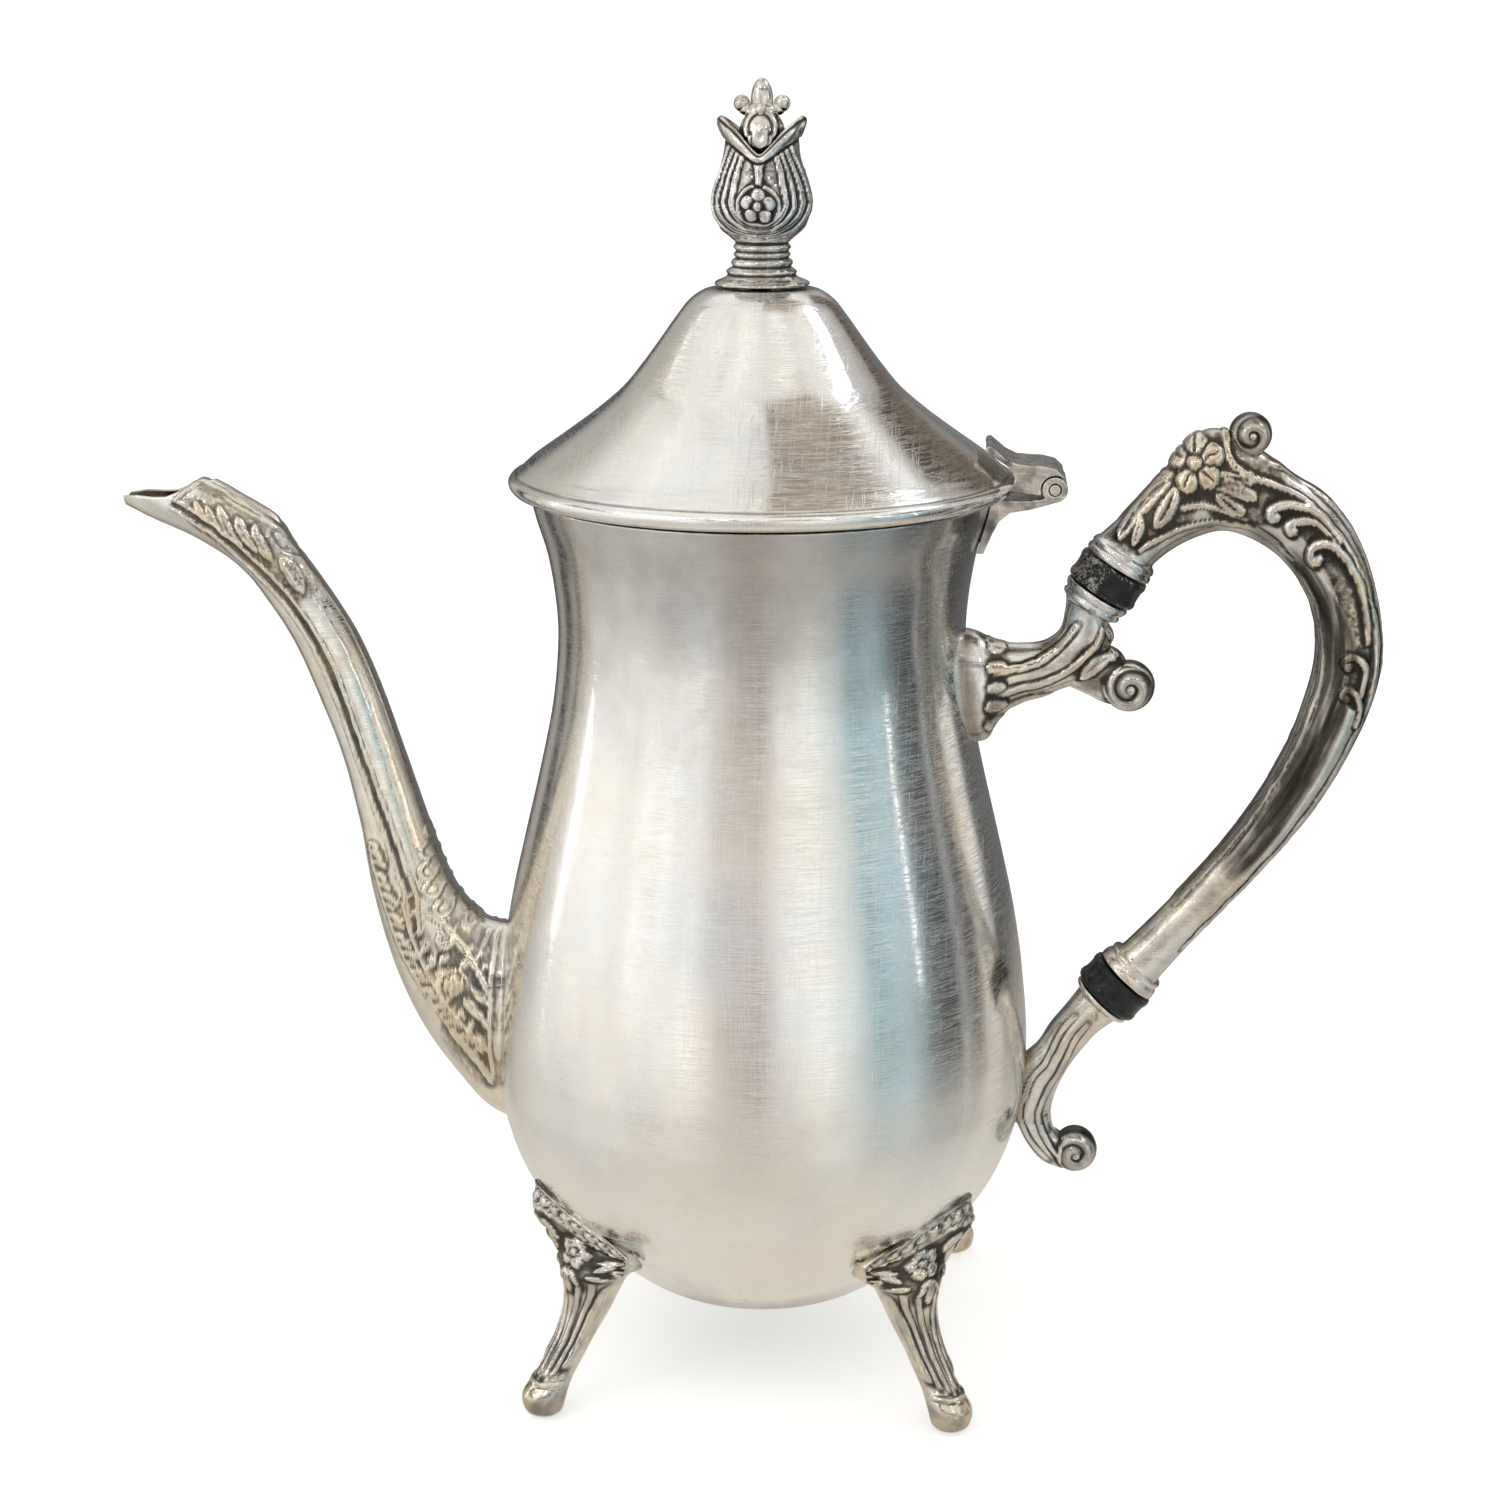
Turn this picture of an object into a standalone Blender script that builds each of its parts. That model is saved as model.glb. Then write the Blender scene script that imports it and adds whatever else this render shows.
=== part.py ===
"""A footed, pear-shaped silver coffee pot with a hinged domed lid, a cast swan-neck spout
and a cast scroll handle held between two black insulators.

Metres, +Z up. The origin is at the height of the table, under the middle of the overall
length; the body's own turning axis stands AXIS_X from it. The shapes below are drawn about
that turning axis and hang on one empty that carries them to their place.
The spout points to -X and the handle to +X; the lid is shut.
"""

import math

import bmesh
import bpy
from mathutils import Vector

# ---------------------------------------------------------------- driving dimensions (mm)
MM = 0.001
AXIS_X = 3.0           # turning axis of the body, from the origin towards the handle
GAP = 0.3              # clearance between pieces that are soldered or rest together
WALL = 1.2             # spun sheet wall of the body
LID_WALL = 1.1
CAST_WALL = 1.6        # wall of the hollow cast spout
ROUND = 48             # facets round the body and lid

BODY_TOP = 187.8       # cut edge of the body at the mouth
BODY_BOTTOM = 13.7
RING_OUT = 45.85       # reinforcing ring inside the mouth
RING_IN = 44.7
RING_LOW = 184.6
LID_LOW = 188.2        # underside of the lid's rolled edge
LID_FLAT = 229.2       # flat seat for the finial
LID_EDGE_R = 51.8
BEZEL_R = 43.8
BEZEL_LOW = 183.6

HINGE_X, HINGE_Z = 59.5, 190.0
KNUCKLE_R = 2.6
HINGE_PIN_R = 1.1
HINGE_BORE_R = 1.3
LEAF_HALF = 8.0        # half of the hinge's width
KNUCKLE_HALF = 2.5     # half of the lid's own knuckle

STUD_R = 2.0
STUD_LOW = 219.5

INS_R = 7.3            # black insulators
INS_BAND = 6.2         # their visible length
TENON_R = 3.0
TENON_LEN = 6.0
PIN_R = 0.8
UPPER_INS = (71.0, 170.6)
UPPER_DIR = (0.52, 0.854)
LOWER_INS = (75.3, 82.3)
LOWER_DIR = (0.667, 0.745)

FOOT_ANGLES = {"foot_spout_near": 225, "foot_spout_far": 135, "foot_handle_near": 315, "foot_handle_far": 45}


# ---------------------------------------------------------------- clean start
for old in list(bpy.data.objects):
    bpy.data.objects.remove(old, do_unlink=True)
pot_axis = bpy.data.objects.new("pot_axis", None)
pot_axis.location = (AXIS_X * MM, 0, 0)
bpy.context.scene.collection.objects.link(pot_axis)
bpy.context.view_layer.update()


# ---------------------------------------------------------------- materials
def metal(name, color, roughness, metallic=1.0):
    mat = bpy.data.materials.new(name)
    mat.use_nodes = True
    shader = mat.node_tree.nodes["Principled BSDF"]
    shader.inputs["Base Color"].default_value = (*color, 1)
    shader.inputs["Roughness"].default_value = roughness
    shader.inputs["Metallic"].default_value = metallic
    mat.diffuse_color = (*color, 1)
    return mat


COLORS = {
    "body_shell": ((0.80, 0.80, 0.78), 0.22),
    "mouth_ring": ((0.72, 0.71, 0.68), 0.25),
    "spout": ((0.74, 0.74, 0.71), 0.26),
    "lid_dome": ((0.82, 0.82, 0.80), 0.18),
    "lid_bezel": ((0.70, 0.69, 0.65), 0.30),
    "finial": ((0.76, 0.75, 0.72), 0.24),
    "finial_washer": ((0.62, 0.55, 0.36), 0.35),
    "finial_nut": ((0.62, 0.55, 0.36), 0.35),
    "hinge_lid_leaf": ((0.72, 0.70, 0.66), 0.28),
    "hinge_body_leaf": ((0.70, 0.68, 0.64), 0.28),
    "hinge_pin": ((0.60, 0.58, 0.54), 0.30),
    "upper_handle_socket": ((0.73, 0.72, 0.69), 0.26),
    "upper_insulator": ((0.02, 0.02, 0.02), 0.20),
    "handle": ((0.75, 0.74, 0.71), 0.25),
    "lower_insulator": ((0.02, 0.02, 0.02), 0.20),
    "lower_handle_socket": ((0.73, 0.72, 0.69), 0.26),
    "upper_pin_socket": ((0.66, 0.65, 0.62), 0.30),
    "upper_pin_handle": ((0.66, 0.65, 0.62), 0.30),
    "lower_pin_socket": ((0.66, 0.65, 0.62), 0.30),
    "lower_pin_handle": ((0.66, 0.65, 0.62), 0.30),
    "foot_spout_near": ((0.71, 0.70, 0.66), 0.28),
    "foot_spout_far": ((0.71, 0.70, 0.66), 0.28),
    "foot_handle_near": ((0.71, 0.70, 0.66), 0.28),
    "foot_handle_far": ((0.71, 0.70, 0.66), 0.28),
}


# ---------------------------------------------------------------- helpers
def make_object(name, bm, guide=False):
    bmesh.ops.recalc_face_normals(bm, faces=bm.faces)
    mesh = bpy.data.meshes.new(name)
    bm.to_mesh(mesh)
    bm.free()
    mesh.shade_smooth()
    mesh.set_sharp_from_angle(angle=math.radians(35))
    obj = bpy.data.objects.new(name, mesh)
    bpy.context.scene.collection.objects.link(obj)
    obj.parent = pot_axis
    if guide:
        obj.hide_render = True
        obj.display_type = "WIRE"
    else:
        color, roughness = COLORS[name]
        mesh.materials.append(metal(name, color, roughness, 0.0 if "insulator" in name else 1.0))
    return obj


def spline(points, per):
    """Catmull-Rom curve through the points, `per` steps to each span, any number of coordinates."""
    pts = [tuple(p) for p in points]
    out = []
    for i in range(len(pts) - 1):
        p0 = pts[max(i - 1, 0)]
        p1, p2 = pts[i], pts[i + 1]
        p3 = pts[min(i + 2, len(pts) - 1)]
        for k in range(per):
            t = k / per
            out.append(tuple(
                0.5 * (2 * b + (c - a) * t + (2 * a - 5 * b + 4 * c - d) * t * t + (3 * b - a - 3 * c + d) * t ** 3)
                for a, b, c, d in zip(p0, p1, p2, p3)
            ))
    out.append(pts[-1])
    return out


def offset(profile, distance):
    """The (r, z) profile moved sideways; positive moves out on a profile that runs upwards."""
    out = []
    for i, (r, z) in enumerate(profile):
        a = profile[max(i - 1, 0)]
        b = profile[min(i + 1, len(profile) - 1)]
        dr, dz = b[0] - a[0], b[1] - a[1]
        n = math.hypot(dr, dz)
        out.append((max(r + distance * dz / n, 0.0), z - distance * dr / n))
    return out


def turned(name, profile, sides=ROUND, guide=False):
    """A closed (r, z) profile turned about +Z. A point with r = 0 becomes a single vertex."""
    bm = bmesh.new()
    rings = []
    for r, z in profile:
        if r < 1e-6:
            rings.append([bm.verts.new((0, 0, z * MM))])
        else:
            rings.append([
                bm.verts.new((r * MM * math.cos(2 * math.pi * k / sides), r * MM * math.sin(2 * math.pi * k / sides), z * MM))
                for k in range(sides)
            ])
    count = len(rings)
    for i in range(count):
        a, b = rings[i], rings[(i + 1) % count]
        if len(a) == 1 and len(b) == 1:
            continue
        for k in range(sides):
            n = (k + 1) % sides
            if len(a) == 1:
                bm.faces.new((a[0], b[k], b[n]))
            elif len(b) == 1:
                bm.faces.new((a[k], a[n], b[0]))
            else:
                bm.faces.new((a[k], a[n], b[n], b[k]))
    return make_object(name, bm, guide)


def loft(name, stations, sides=12, guide=False, power=2.0):
    """A tube through oval rings. A station is (x_a, z_a, x_b, z_b, half_width): the two ends
    of the oval's axis in the plane of the spout and handle, and its half width along Y."""
    bm = bmesh.new()
    rings = []
    for xa, za, xb, zb, half in stations:
        cx, cz = (xa + xb) / 2, (za + zb) / 2
        ux, uz = (xa - xb) / 2, (za - zb) / 2
        ring = []
        for k in range(sides):
            t = 2 * math.pi * k / sides
            c, s = math.cos(t), math.sin(t)
            c = math.copysign(abs(c) ** (2 / power), c)
            s = math.copysign(abs(s) ** (2 / power), s)
            ring.append(bm.verts.new(((cx + ux * c) * MM, half * s * MM, (cz + uz * c) * MM)))
        rings.append(ring)
    for a, b in zip(rings, rings[1:]):
        for k in range(sides):
            n = (k + 1) % sides
            bm.faces.new((a[k], a[n], b[n], b[k]))
    bm.faces.new(rings[0])
    bm.faces.new(rings[-1])
    return make_object(name, bm, guide)


def prism(name, outline, half, guide=False, y=0.0):
    """A plate with the (x, z) outline, `half` to each side of y."""
    bm = bmesh.new()
    near = [bm.verts.new((x * MM, (y - half) * MM, z * MM)) for x, z in outline]
    far = [bm.verts.new((x * MM, (y + half) * MM, z * MM)) for x, z in outline]
    count = len(outline)
    for i in range(count):
        j = (i + 1) % count
        bm.faces.new((near[i], near[j], far[j], far[i]))
    bm.faces.new(near)
    bm.faces.new(far)
    return make_object(name, bm, guide)


def rod(name, start, end, radius, sides=16, guide=False):
    """A straight round bar between two points, mm."""
    a, b = Vector(start) * MM, Vector(end) * MM
    axis = (b - a).normalized()
    side = axis.orthogonal().normalized()
    if abs(axis.y) > 0.99:
        side = Vector((1, 0, 0))
    other = axis.cross(side)
    bm = bmesh.new()
    rings = []
    for centre in (a, b):
        rings.append([
            bm.verts.new(centre + radius * MM * (math.cos(2 * math.pi * k / sides) * side + math.sin(2 * math.pi * k / sides) * other))
            for k in range(sides)
        ])
    for k in range(sides):
        n = (k + 1) % sides
        bm.faces.new((rings[0][k], rings[0][n], rings[1][n], rings[1][k]))
    bm.faces.new(rings[0])
    bm.faces.new(rings[1])
    return make_object(name, bm, guide)


def turned_on(name, profile, origin, direction, sides=20, guide=False):
    """A closed (r, t) profile turned about an axis in the XZ plane, t measured along it."""
    obj = turned(name, profile, sides, guide)
    axis = Vector((direction[0], 0, direction[1])).normalized()
    side = Vector((0, 1, 0))
    third = axis.cross(side)
    base = Vector((origin[0], 0, origin[1])) * MM
    for v in obj.data.vertices:
        x, y, z = v.co
        v.co = base + third * x + side * y + axis * z
    bm = bmesh.new()
    bm.from_mesh(obj.data)
    bmesh.ops.recalc_face_normals(bm, faces=bm.faces)
    bm.to_mesh(obj.data)
    bm.free()
    return obj


def cut(obj, *tools):
    for tool in tools:
        mod = obj.modifiers.new("cut", "BOOLEAN")
        mod.operation = "DIFFERENCE"
        mod.object = tool


def join(obj, *tools):
    for tool in tools:
        mod = obj.modifiers.new("join", "BOOLEAN")
        mod.operation = "UNION"
        mod.object = tool


# ---------------------------------------------------------------- body: a spun pear
BODY_STATIONS = [  # (r, z), up the outside from the middle of the bottom
    (16, 14.2), (26.5, 17.2), (37.5, 26), (44.7, 33), (50.5, 41), (54.3, 50), (56.7, 61), (56.9, 72),
    (55.6, 86), (53.4, 100), (50, 115), (46.4, 130), (43.4, 145), (42.2, 160), (43.7, 174), (46.2, 183), (47.4, BODY_TOP),
]
outer = [(0.0, BODY_BOTTOM)] + BODY_STATIONS[:4] + spline(BODY_STATIONS[4:], 1)
inner = offset(outer, -WALL)
inner[0] = (0.0, BODY_BOTTOM + WALL)
inner[-1] = (outer[-1][0] - WALL, BODY_TOP)
body = turned("body_shell", outer + inner[::-1])

# The body with the soldering gap around it: it trims every piece that is fitted to the body.
clear = offset(outer, GAP)
clear[0] = (0.0, BODY_BOTTOM - GAP)
clear[-1] = (outer[-1][0] + GAP, BODY_TOP + GAP)
body_clear = turned("body_clearance", clear + [(0.0, BODY_TOP + GAP)], guide=True)

# Ring soldered inside the mouth: it stiffens the edge that the lid rests over.
turned("mouth_ring", [
    (RING_OUT - 0.65, BODY_TOP), (RING_IN, BODY_TOP - 0.6), (RING_IN, RING_LOW + 0.4), (RING_IN + 0.2, RING_LOW), (RING_OUT - 0.8, RING_LOW),
    (RING_OUT - 0.4, 186.0), (RING_OUT, BODY_TOP),
])


# ---------------------------------------------------------------- spout: hollow swan-neck casting
SPOUT = [  # upper edge x, z, lower edge x, z, half width
    (-46.0, 92.5, -46.0, 47.5, 15.5),
    (-57.5, 93.6, -57.5, 50.5, 15.0),
    (-62.0, 96.2, -66.0, 59.3, 13.8),
    (-66.6, 102.4, -73.8, 70.6, 12.0),
    (-70.6, 113.0, -79.6, 84.0, 10.3),
    (-74.0, 124.0, -83.6, 99.5, 8.8),
    (-77.5, 135.3, -85.8, 114.2, 7.8),
    (-81.0, 146.0, -88.9, 128.8, 7.2),
    (-85.4, 156.6, -93.3, 141.8, 6.8),
    (-91.2, 166.2, -98.6, 154.8, 6.6),
    (-97.2, 174.8, -104.6, 164.6, 6.6),
    (-101.2, 180.4, -108.4, 169.4, 6.6),
    (-108.2, 184.8, -113.0, 173.2, 6.5),
    (-116.3, 189.0, -119.5, 177.0, 6.1),
    (-126.2, 190.5, -127.4, 180.4, 4.9),
    (-133.1, 191.0, -133.1, 183.0, 3.2),
]
SPOUT_CENTRE = [((a + c) / 2, (b + d) / 2) for a, b, c, d, _ in SPOUT]


def hollowed(stations, wall):
    out = []
    for xa, za, xb, zb, half in stations:
        n = math.hypot(xa - xb, za - zb)
        ux, uz = (xa - xb) / n * wall, (za - zb) / n * wall
        out.append((xa - ux, za - uz, xb + ux, zb + uz, half - wall))
    return out


spout = loft("spout", SPOUT, sides=16)
channel = hollowed(SPOUT, CAST_WALL)
tip = channel[-1]
channel.append((tip[0] - 6, tip[1] + 4, tip[2] - 6, tip[3] + 2.5, tip[4]))
spout_bore = loft("spout_bore", channel, sides=12, guide=True)
# The mouth lies open to the sky in front of the raised hood.
spout_mouth = prism("spout_mouth", [(-117.2, 187.0), (-117.2, 200), (-142, 200), (-142, 183.6), (-133, 184.2), (-127, 185.6)], 12, guide=True)
cut(spout, spout_bore, spout_mouth, body_clear)
port = loft("spout_port", [(-66, 88, -66, 62, 8.0), (-44, 88, -44, 62, 8.0)], sides=12, guide=True)
cut(body, port)


# ---------------------------------------------------------------- lid: stepped dome with a rolled edge
LID_STATIONS = [  # (r, z), up the outside from the rolled edge
    (49.2, LID_LOW), (51.2, 190.2), (LID_EDGE_R, 192.2), (50.4, 194.4), (46.5, 197.0), (40.4, 200.2), (34.2, 204.2),
    (28.4, 209), (24.2, 214), (20.5, 219), (17.2, 223.6), (14.6, 226.8), (11.8, 228.7), (9.5, LID_FLAT),
]
LID_INSIDE = [
    (3.2, LID_FLAT - LID_WALL), (9.2, LID_FLAT - LID_WALL), (13.6, 225.6), (19.4, 218.2), (23.2, 212.8), (27.4, 208.2),
    (33.4, 203.2), (39.8, 199.2), (45.4, 196.0), (46.8, 193.6), (46.8, LID_LOW),
]
lid = turned("lid_dome", LID_STATIONS + [(3.2, LID_FLAT)] + LID_INSIDE)
lid_clear = turned("lid_clearance", [(0.0, LID_LOW - GAP)] + [(r, z) for r, z in offset(LID_STATIONS, GAP)] + [(0.0, LID_FLAT + GAP)], guide=True)

# Locating ring soldered inside the lid; it drops into the mouth.
turned("lid_bezel", [
    (BEZEL_R - 1.2, BEZEL_LOW), (BEZEL_R - 0.3, BEZEL_LOW), (BEZEL_R, BEZEL_LOW + 1.0), (BEZEL_R, LID_LOW + 0.2), (46.4, LID_LOW + 1.0),
    (46.4, LID_LOW + 2.6), (BEZEL_R - 1.2, LID_LOW + 2.6),
])

# ---------------------------------------------------------------- finial, screwed through the lid
turned("finial", [
    (0.0, STUD_LOW), (STUD_R - 0.4, STUD_LOW), (STUD_R, STUD_LOW + 0.5), (STUD_R, LID_FLAT + GAP),
    (9.6, LID_FLAT + GAP), (9.6, 230.1), (7.8, 231.2), (6.4, 233.0), (5.4, 235.2), (5.4, 237.6), (6.6, 239.2), (8.6, 240.8), (9.7, 242.8),
    (10.2, 245.2), (9.9, 248.2), (8.9, 251.6), (7.9, 254.6), (7.5, 257.0), (7.8, 259.4), (9.0, 262.2), (7.6, 263.2),
    (5.6, 264.2), (5.3, 265.6), (4.4, 267.2), (1.8, 268.7), (1.4, 269.6), (0.0, 270.0),
], sides=24)
turned("finial_washer", [(2.5, 227.8), (7.5, 227.8), (7.5, 226.8), (2.5, 226.8)], sides=24)
nut = turned("finial_nut", [(2.3, 226.5), (4.6, 226.5), (4.6, 223.3), (2.3, 223.3)], sides=6)


# ---------------------------------------------------------------- hinge
def at_hinge(name, low, high, radius, sides=16, guide=True):
    return rod(name, (HINGE_X, low, HINGE_Z), (HINGE_X, high, HINGE_Z), radius, sides, guide)


hinge_bore = at_hinge("hinge_bore", -12, 12, HINGE_BORE_R)
lid_leaf = prism("hinge_lid_leaf", [
    (46.5, 198.7), (49.5, 196.2), (51.8, 195.1), (54.0, 194.9), (57.0, 194.8), (59.6, 194.2), (61.4, 192.6),
    (61.0, 191.0), (58.0, 188.7), (52.2, 189.4), (46.0, 190.0), (45.2, 197.0), (45.7, 198.6),
], LEAF_HALF)
lid_knuckle = at_hinge("lid_knuckle", -KNUCKLE_HALF, KNUCKLE_HALF, KNUCKLE_R)
knuckle_web = prism("lid_knuckle_web", [(55.0, 194.0), (56.0, 189.0), (59.5, 188.6), (61.9, 190.6), (61.0, 193.0), (59.0, 194.3)], KNUCKLE_HALF, guide=True)
near_slot = at_hinge("hinge_slot_near", -9, -KNUCKLE_HALF - 0.001, KNUCKLE_R + GAP)
far_slot = at_hinge("hinge_slot_far", KNUCKLE_HALF + 0.001, 9, KNUCKLE_R + GAP)
join(lid_leaf, knuckle_web, lid_knuckle)
cut(lid_leaf, lid_clear, hinge_bore, near_slot, far_slot)

body_leaf = prism("hinge_body_leaf", [
    (42.0, 176.8), (45.4, 176.8), (47.0, 180.6), (48.4, 183.4), (50.6, 185.2), (55.0, 186.0), (60.0, 187.5),
    (58.4, 188.3), (54.0, 187.7), (49.4, 187.7), (42.0, 187.7),
], LEAF_HALF)
near_knuckle = at_hinge("body_knuckle_near", -LEAF_HALF, -KNUCKLE_HALF - GAP, KNUCKLE_R)
far_knuckle = at_hinge("body_knuckle_far", KNUCKLE_HALF + GAP, LEAF_HALF, KNUCKLE_R)
lid_slot = at_hinge("hinge_slot_lid", -KNUCKLE_HALF - GAP, KNUCKLE_HALF + GAP, KNUCKLE_R + GAP)
join(body_leaf, near_knuckle, far_knuckle)
cut(body_leaf, body_clear, hinge_bore, lid_slot)
at_hinge("hinge_pin", -LEAF_HALF - 0.4, LEAF_HALF + 0.4, HINGE_PIN_R, sides=12, guide=False)


# ---------------------------------------------------------------- insulators with tenons
def insulator(name, centre, direction):
    half = INS_BAND / 2
    end = half + TENON_LEN
    obj = turned_on(name, [
        (0.0, -end), (TENON_R - 0.4, -end), (TENON_R, -end + 0.5), (TENON_R, -half), (INS_R, -half), (INS_R + 0.3, -half + 1.2),
        (INS_R, 0.0), (INS_R + 0.3, half - 1.2), (INS_R, half), (TENON_R, half), (TENON_R, end - 0.5), (TENON_R - 0.4, end), (0.0, end),
    ], centre, direction, sides=20)
    return obj


def along(centre, direction, t):
    n = math.hypot(*direction)
    return centre[0] + direction[0] / n * t, centre[1] + direction[1] / n * t


def collar_station(centre, direction, t, radius, swap=False):
    """The oval ring across the insulator's axis at t, as a loft station."""
    n = math.hypot(*direction)
    px, pz = direction[1] / n * radius, -direction[0] / n * radius
    cx, cz = along(centre, direction, t)
    return (cx - px, cz - pz, cx + px, cz + pz, radius)


upper_insulator = insulator("upper_insulator", UPPER_INS, UPPER_DIR)
lower_insulator = insulator("lower_insulator", LOWER_INS, LOWER_DIR)

FACE = INS_BAND / 2 + GAP          # silver face next to an insulator
BORE_END = INS_BAND / 2 + TENON_LEN + 0.6
PIN_AT = INS_BAND / 2 + 3.4        # cross pins, measured from the insulator's middle


def tenon_bore(name, centre, direction, sign):
    a, b = sorted((sign * (FACE - 1.0), sign * BORE_END))
    return turned_on(name, [(0.0, a), (TENON_R + GAP, a), (TENON_R + GAP, b), (0.0, b)], centre, direction, sides=20, guide=True)


def pin_hole(name, centre, direction, sign):
    x, z = along(centre, direction, sign * PIN_AT)
    return rod(name, (x, -12, z), (x, 12, z), PIN_R + GAP, sides=10, guide=True)


def cross_pin(name, centre, direction, sign, half):
    x, z = along(centre, direction, sign * PIN_AT)
    return rod(name, (x, -half, z), (x, half, z), PIN_R, sides=10)


upper_low_hole = pin_hole("upper_low_hole", UPPER_INS, UPPER_DIR, -1)
upper_high_hole = pin_hole("upper_high_hole", UPPER_INS, UPPER_DIR, 1)
lower_low_hole = pin_hole("lower_low_hole", LOWER_INS, LOWER_DIR, -1)
lower_high_hole = pin_hole("lower_high_hole", LOWER_INS, LOWER_DIR, 1)
cut(upper_insulator, upper_low_hole, upper_high_hole)
cut(lower_insulator, lower_low_hole, lower_high_hole)
PIN_HALF = 7.2
cross_pin("upper_pin_socket", UPPER_INS, UPPER_DIR, -1, PIN_HALF)
cross_pin("upper_pin_handle", UPPER_INS, UPPER_DIR, 1, PIN_HALF)
cross_pin("lower_pin_socket", LOWER_INS, LOWER_DIR, -1, PIN_HALF)
cross_pin("lower_pin_handle", LOWER_INS, LOWER_DIR, 1, PIN_HALF)


# ---------------------------------------------------------------- sockets on the body
upper_socket = loft("upper_handle_socket", [
    (38.0, 160.0, 38.0, 136.0, 8.0),
    (44.6, 159.2, 46.8, 136.2, 8.0),
    (48.4, 157.4, 49.4, 140.6, 6.6),
    (53.0, 156.8, 53.6, 144.2, 5.4),
    (58.0, 157.4, 60.4, 146.6, 5.0),
    (61.4, 159.8, 68.6, 150.6, 4.8),
    (62.4, 163.6, 72.4, 158.0, 4.8),
    collar_station(UPPER_INS, UPPER_DIR, -7.4, 5.2),
    collar_station(UPPER_INS, UPPER_DIR, -6.4, 6.4),
    collar_station(UPPER_INS, UPPER_DIR, -5.4, 6.7),
    collar_station(UPPER_INS, UPPER_DIR, -FACE, 7.1),
], sides=16)
upper_scroll = rod("upper_scroll", (76.0, -4.2, 148.2), (76.0, 4.2, 148.2), 5.4, sides=16, guide=True)
upper_web = prism("upper_scroll_web", [(62.0, 148.0), (66.5, 146.0), (72.0, 143.6), (76.0, 143.4), (76.0, 153.2), (72.6, 157.0), (66.0, 157.0)], 3.6, guide=True)
join(upper_socket, upper_web, upper_scroll)
cut(upper_socket, body_clear, tenon_bore("upper_socket_bore", UPPER_INS, UPPER_DIR, -1), upper_low_hole)

lower_socket = loft("lower_handle_socket", [
    collar_station(LOWER_INS, LOWER_DIR, -FACE, 6.7),
    collar_station(LOWER_INS, LOWER_DIR, -4.4, 6.2),
    collar_station(LOWER_INS, LOWER_DIR, -5.4, 5.0),
    (65.4, 78.2, 72.2, 72.2, 4.8),
    (61.8, 73.4, 69.8, 69.4, 4.8),
    (59.0, 68.8, 66.6, 64.8, 4.8),
    (53.4, 63.6, 64.2, 60.0, 5.4),
    (50.0, 59.0, 62.9, 56.0, 5.8),
    (50.0, 53.4, 62.4, 51.8, 5.6),
], sides=16)
lower_scroll = rod("lower_scroll", (68.0, -4.0, 44.9), (68.0, 4.0, 44.9), 4.8, sides=16, guide=True)
lower_web = prism("lower_scroll_web", [(54.0, 54.0), (56.0, 50.4), (57.4, 46.6), (61.0, 42.2), (67.0, 40.2), (67.0, 46.0), (63.6, 49.6), (62.0, 54.0)], 3.6, guide=True)
join(lower_socket, lower_web, lower_scroll)
cut(lower_socket, body_clear, tenon_bore("lower_socket_bore", LOWER_INS, LOWER_DIR, -1), lower_low_hole)


# ---------------------------------------------------------------- handle casting


def flipped(station):
    return station[2:4] + station[0:2] + station[4:]


handle = loft("handle", [
    collar_station(UPPER_INS, UPPER_DIR, FACE, 7.4),
    collar_station(UPPER_INS, UPPER_DIR, 5.4, 7.2),
    collar_station(UPPER_INS, UPPER_DIR, 7.6, 6.2),
    (74.4, 185.0, 84.0, 177.2, 6.2),
    (80.6, 192.2, 89.0, 179.8, 6.2),
    (87.4, 200.6, 93.4, 180.9, 6.2),
    (93.6, 201.6, 97.4, 180.2, 6.2),
    (101.6, 197.0, 101.8, 178.2, 6.2),
    (107.4, 192.6, 105.8, 175.2, 6.2),
    (115.0, 187.8, 109.6, 170.6, 6.4),
    (120.8, 179.8, 112.2, 165.4, 6.6),
    (124.9, 169.0, 113.3, 160.0, 6.7),
    (127.2, 157.0, 113.4, 154.0, 6.7),
    (126.1, 147.0, 112.2, 147.6, 6.7),
    (121.8, 135.4, 109.0, 137.0, 6.5),
    (115.4, 123.2, 104.0, 126.4, 6.2),
    (108.2, 113.4, 98.0, 116.6, 5.8),
    (100.8, 104.4, 91.4, 108.0, 5.4),
    (93.0, 95.4, 84.6, 100.2, 5.0),
    flipped(collar_station(LOWER_INS, LOWER_DIR, 8.0, 5.2)),
    flipped(collar_station(LOWER_INS, LOWER_DIR, 6.8, 6.4)),
    flipped(collar_station(LOWER_INS, LOWER_DIR, FACE, 7.0)),
], sides=12)
crest_scroll = rod("crest_scroll", (98.4, -4.6, 200.9), (98.4, 4.6, 200.9), 4.2, sides=16, guide=True)
join(handle, crest_scroll)
cut(handle, tenon_bore("handle_top_bore", UPPER_INS, UPPER_DIR, 1), tenon_bore("handle_low_bore", LOWER_INS, LOWER_DIR, 1),
    upper_high_hole, lower_high_hole)


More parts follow.
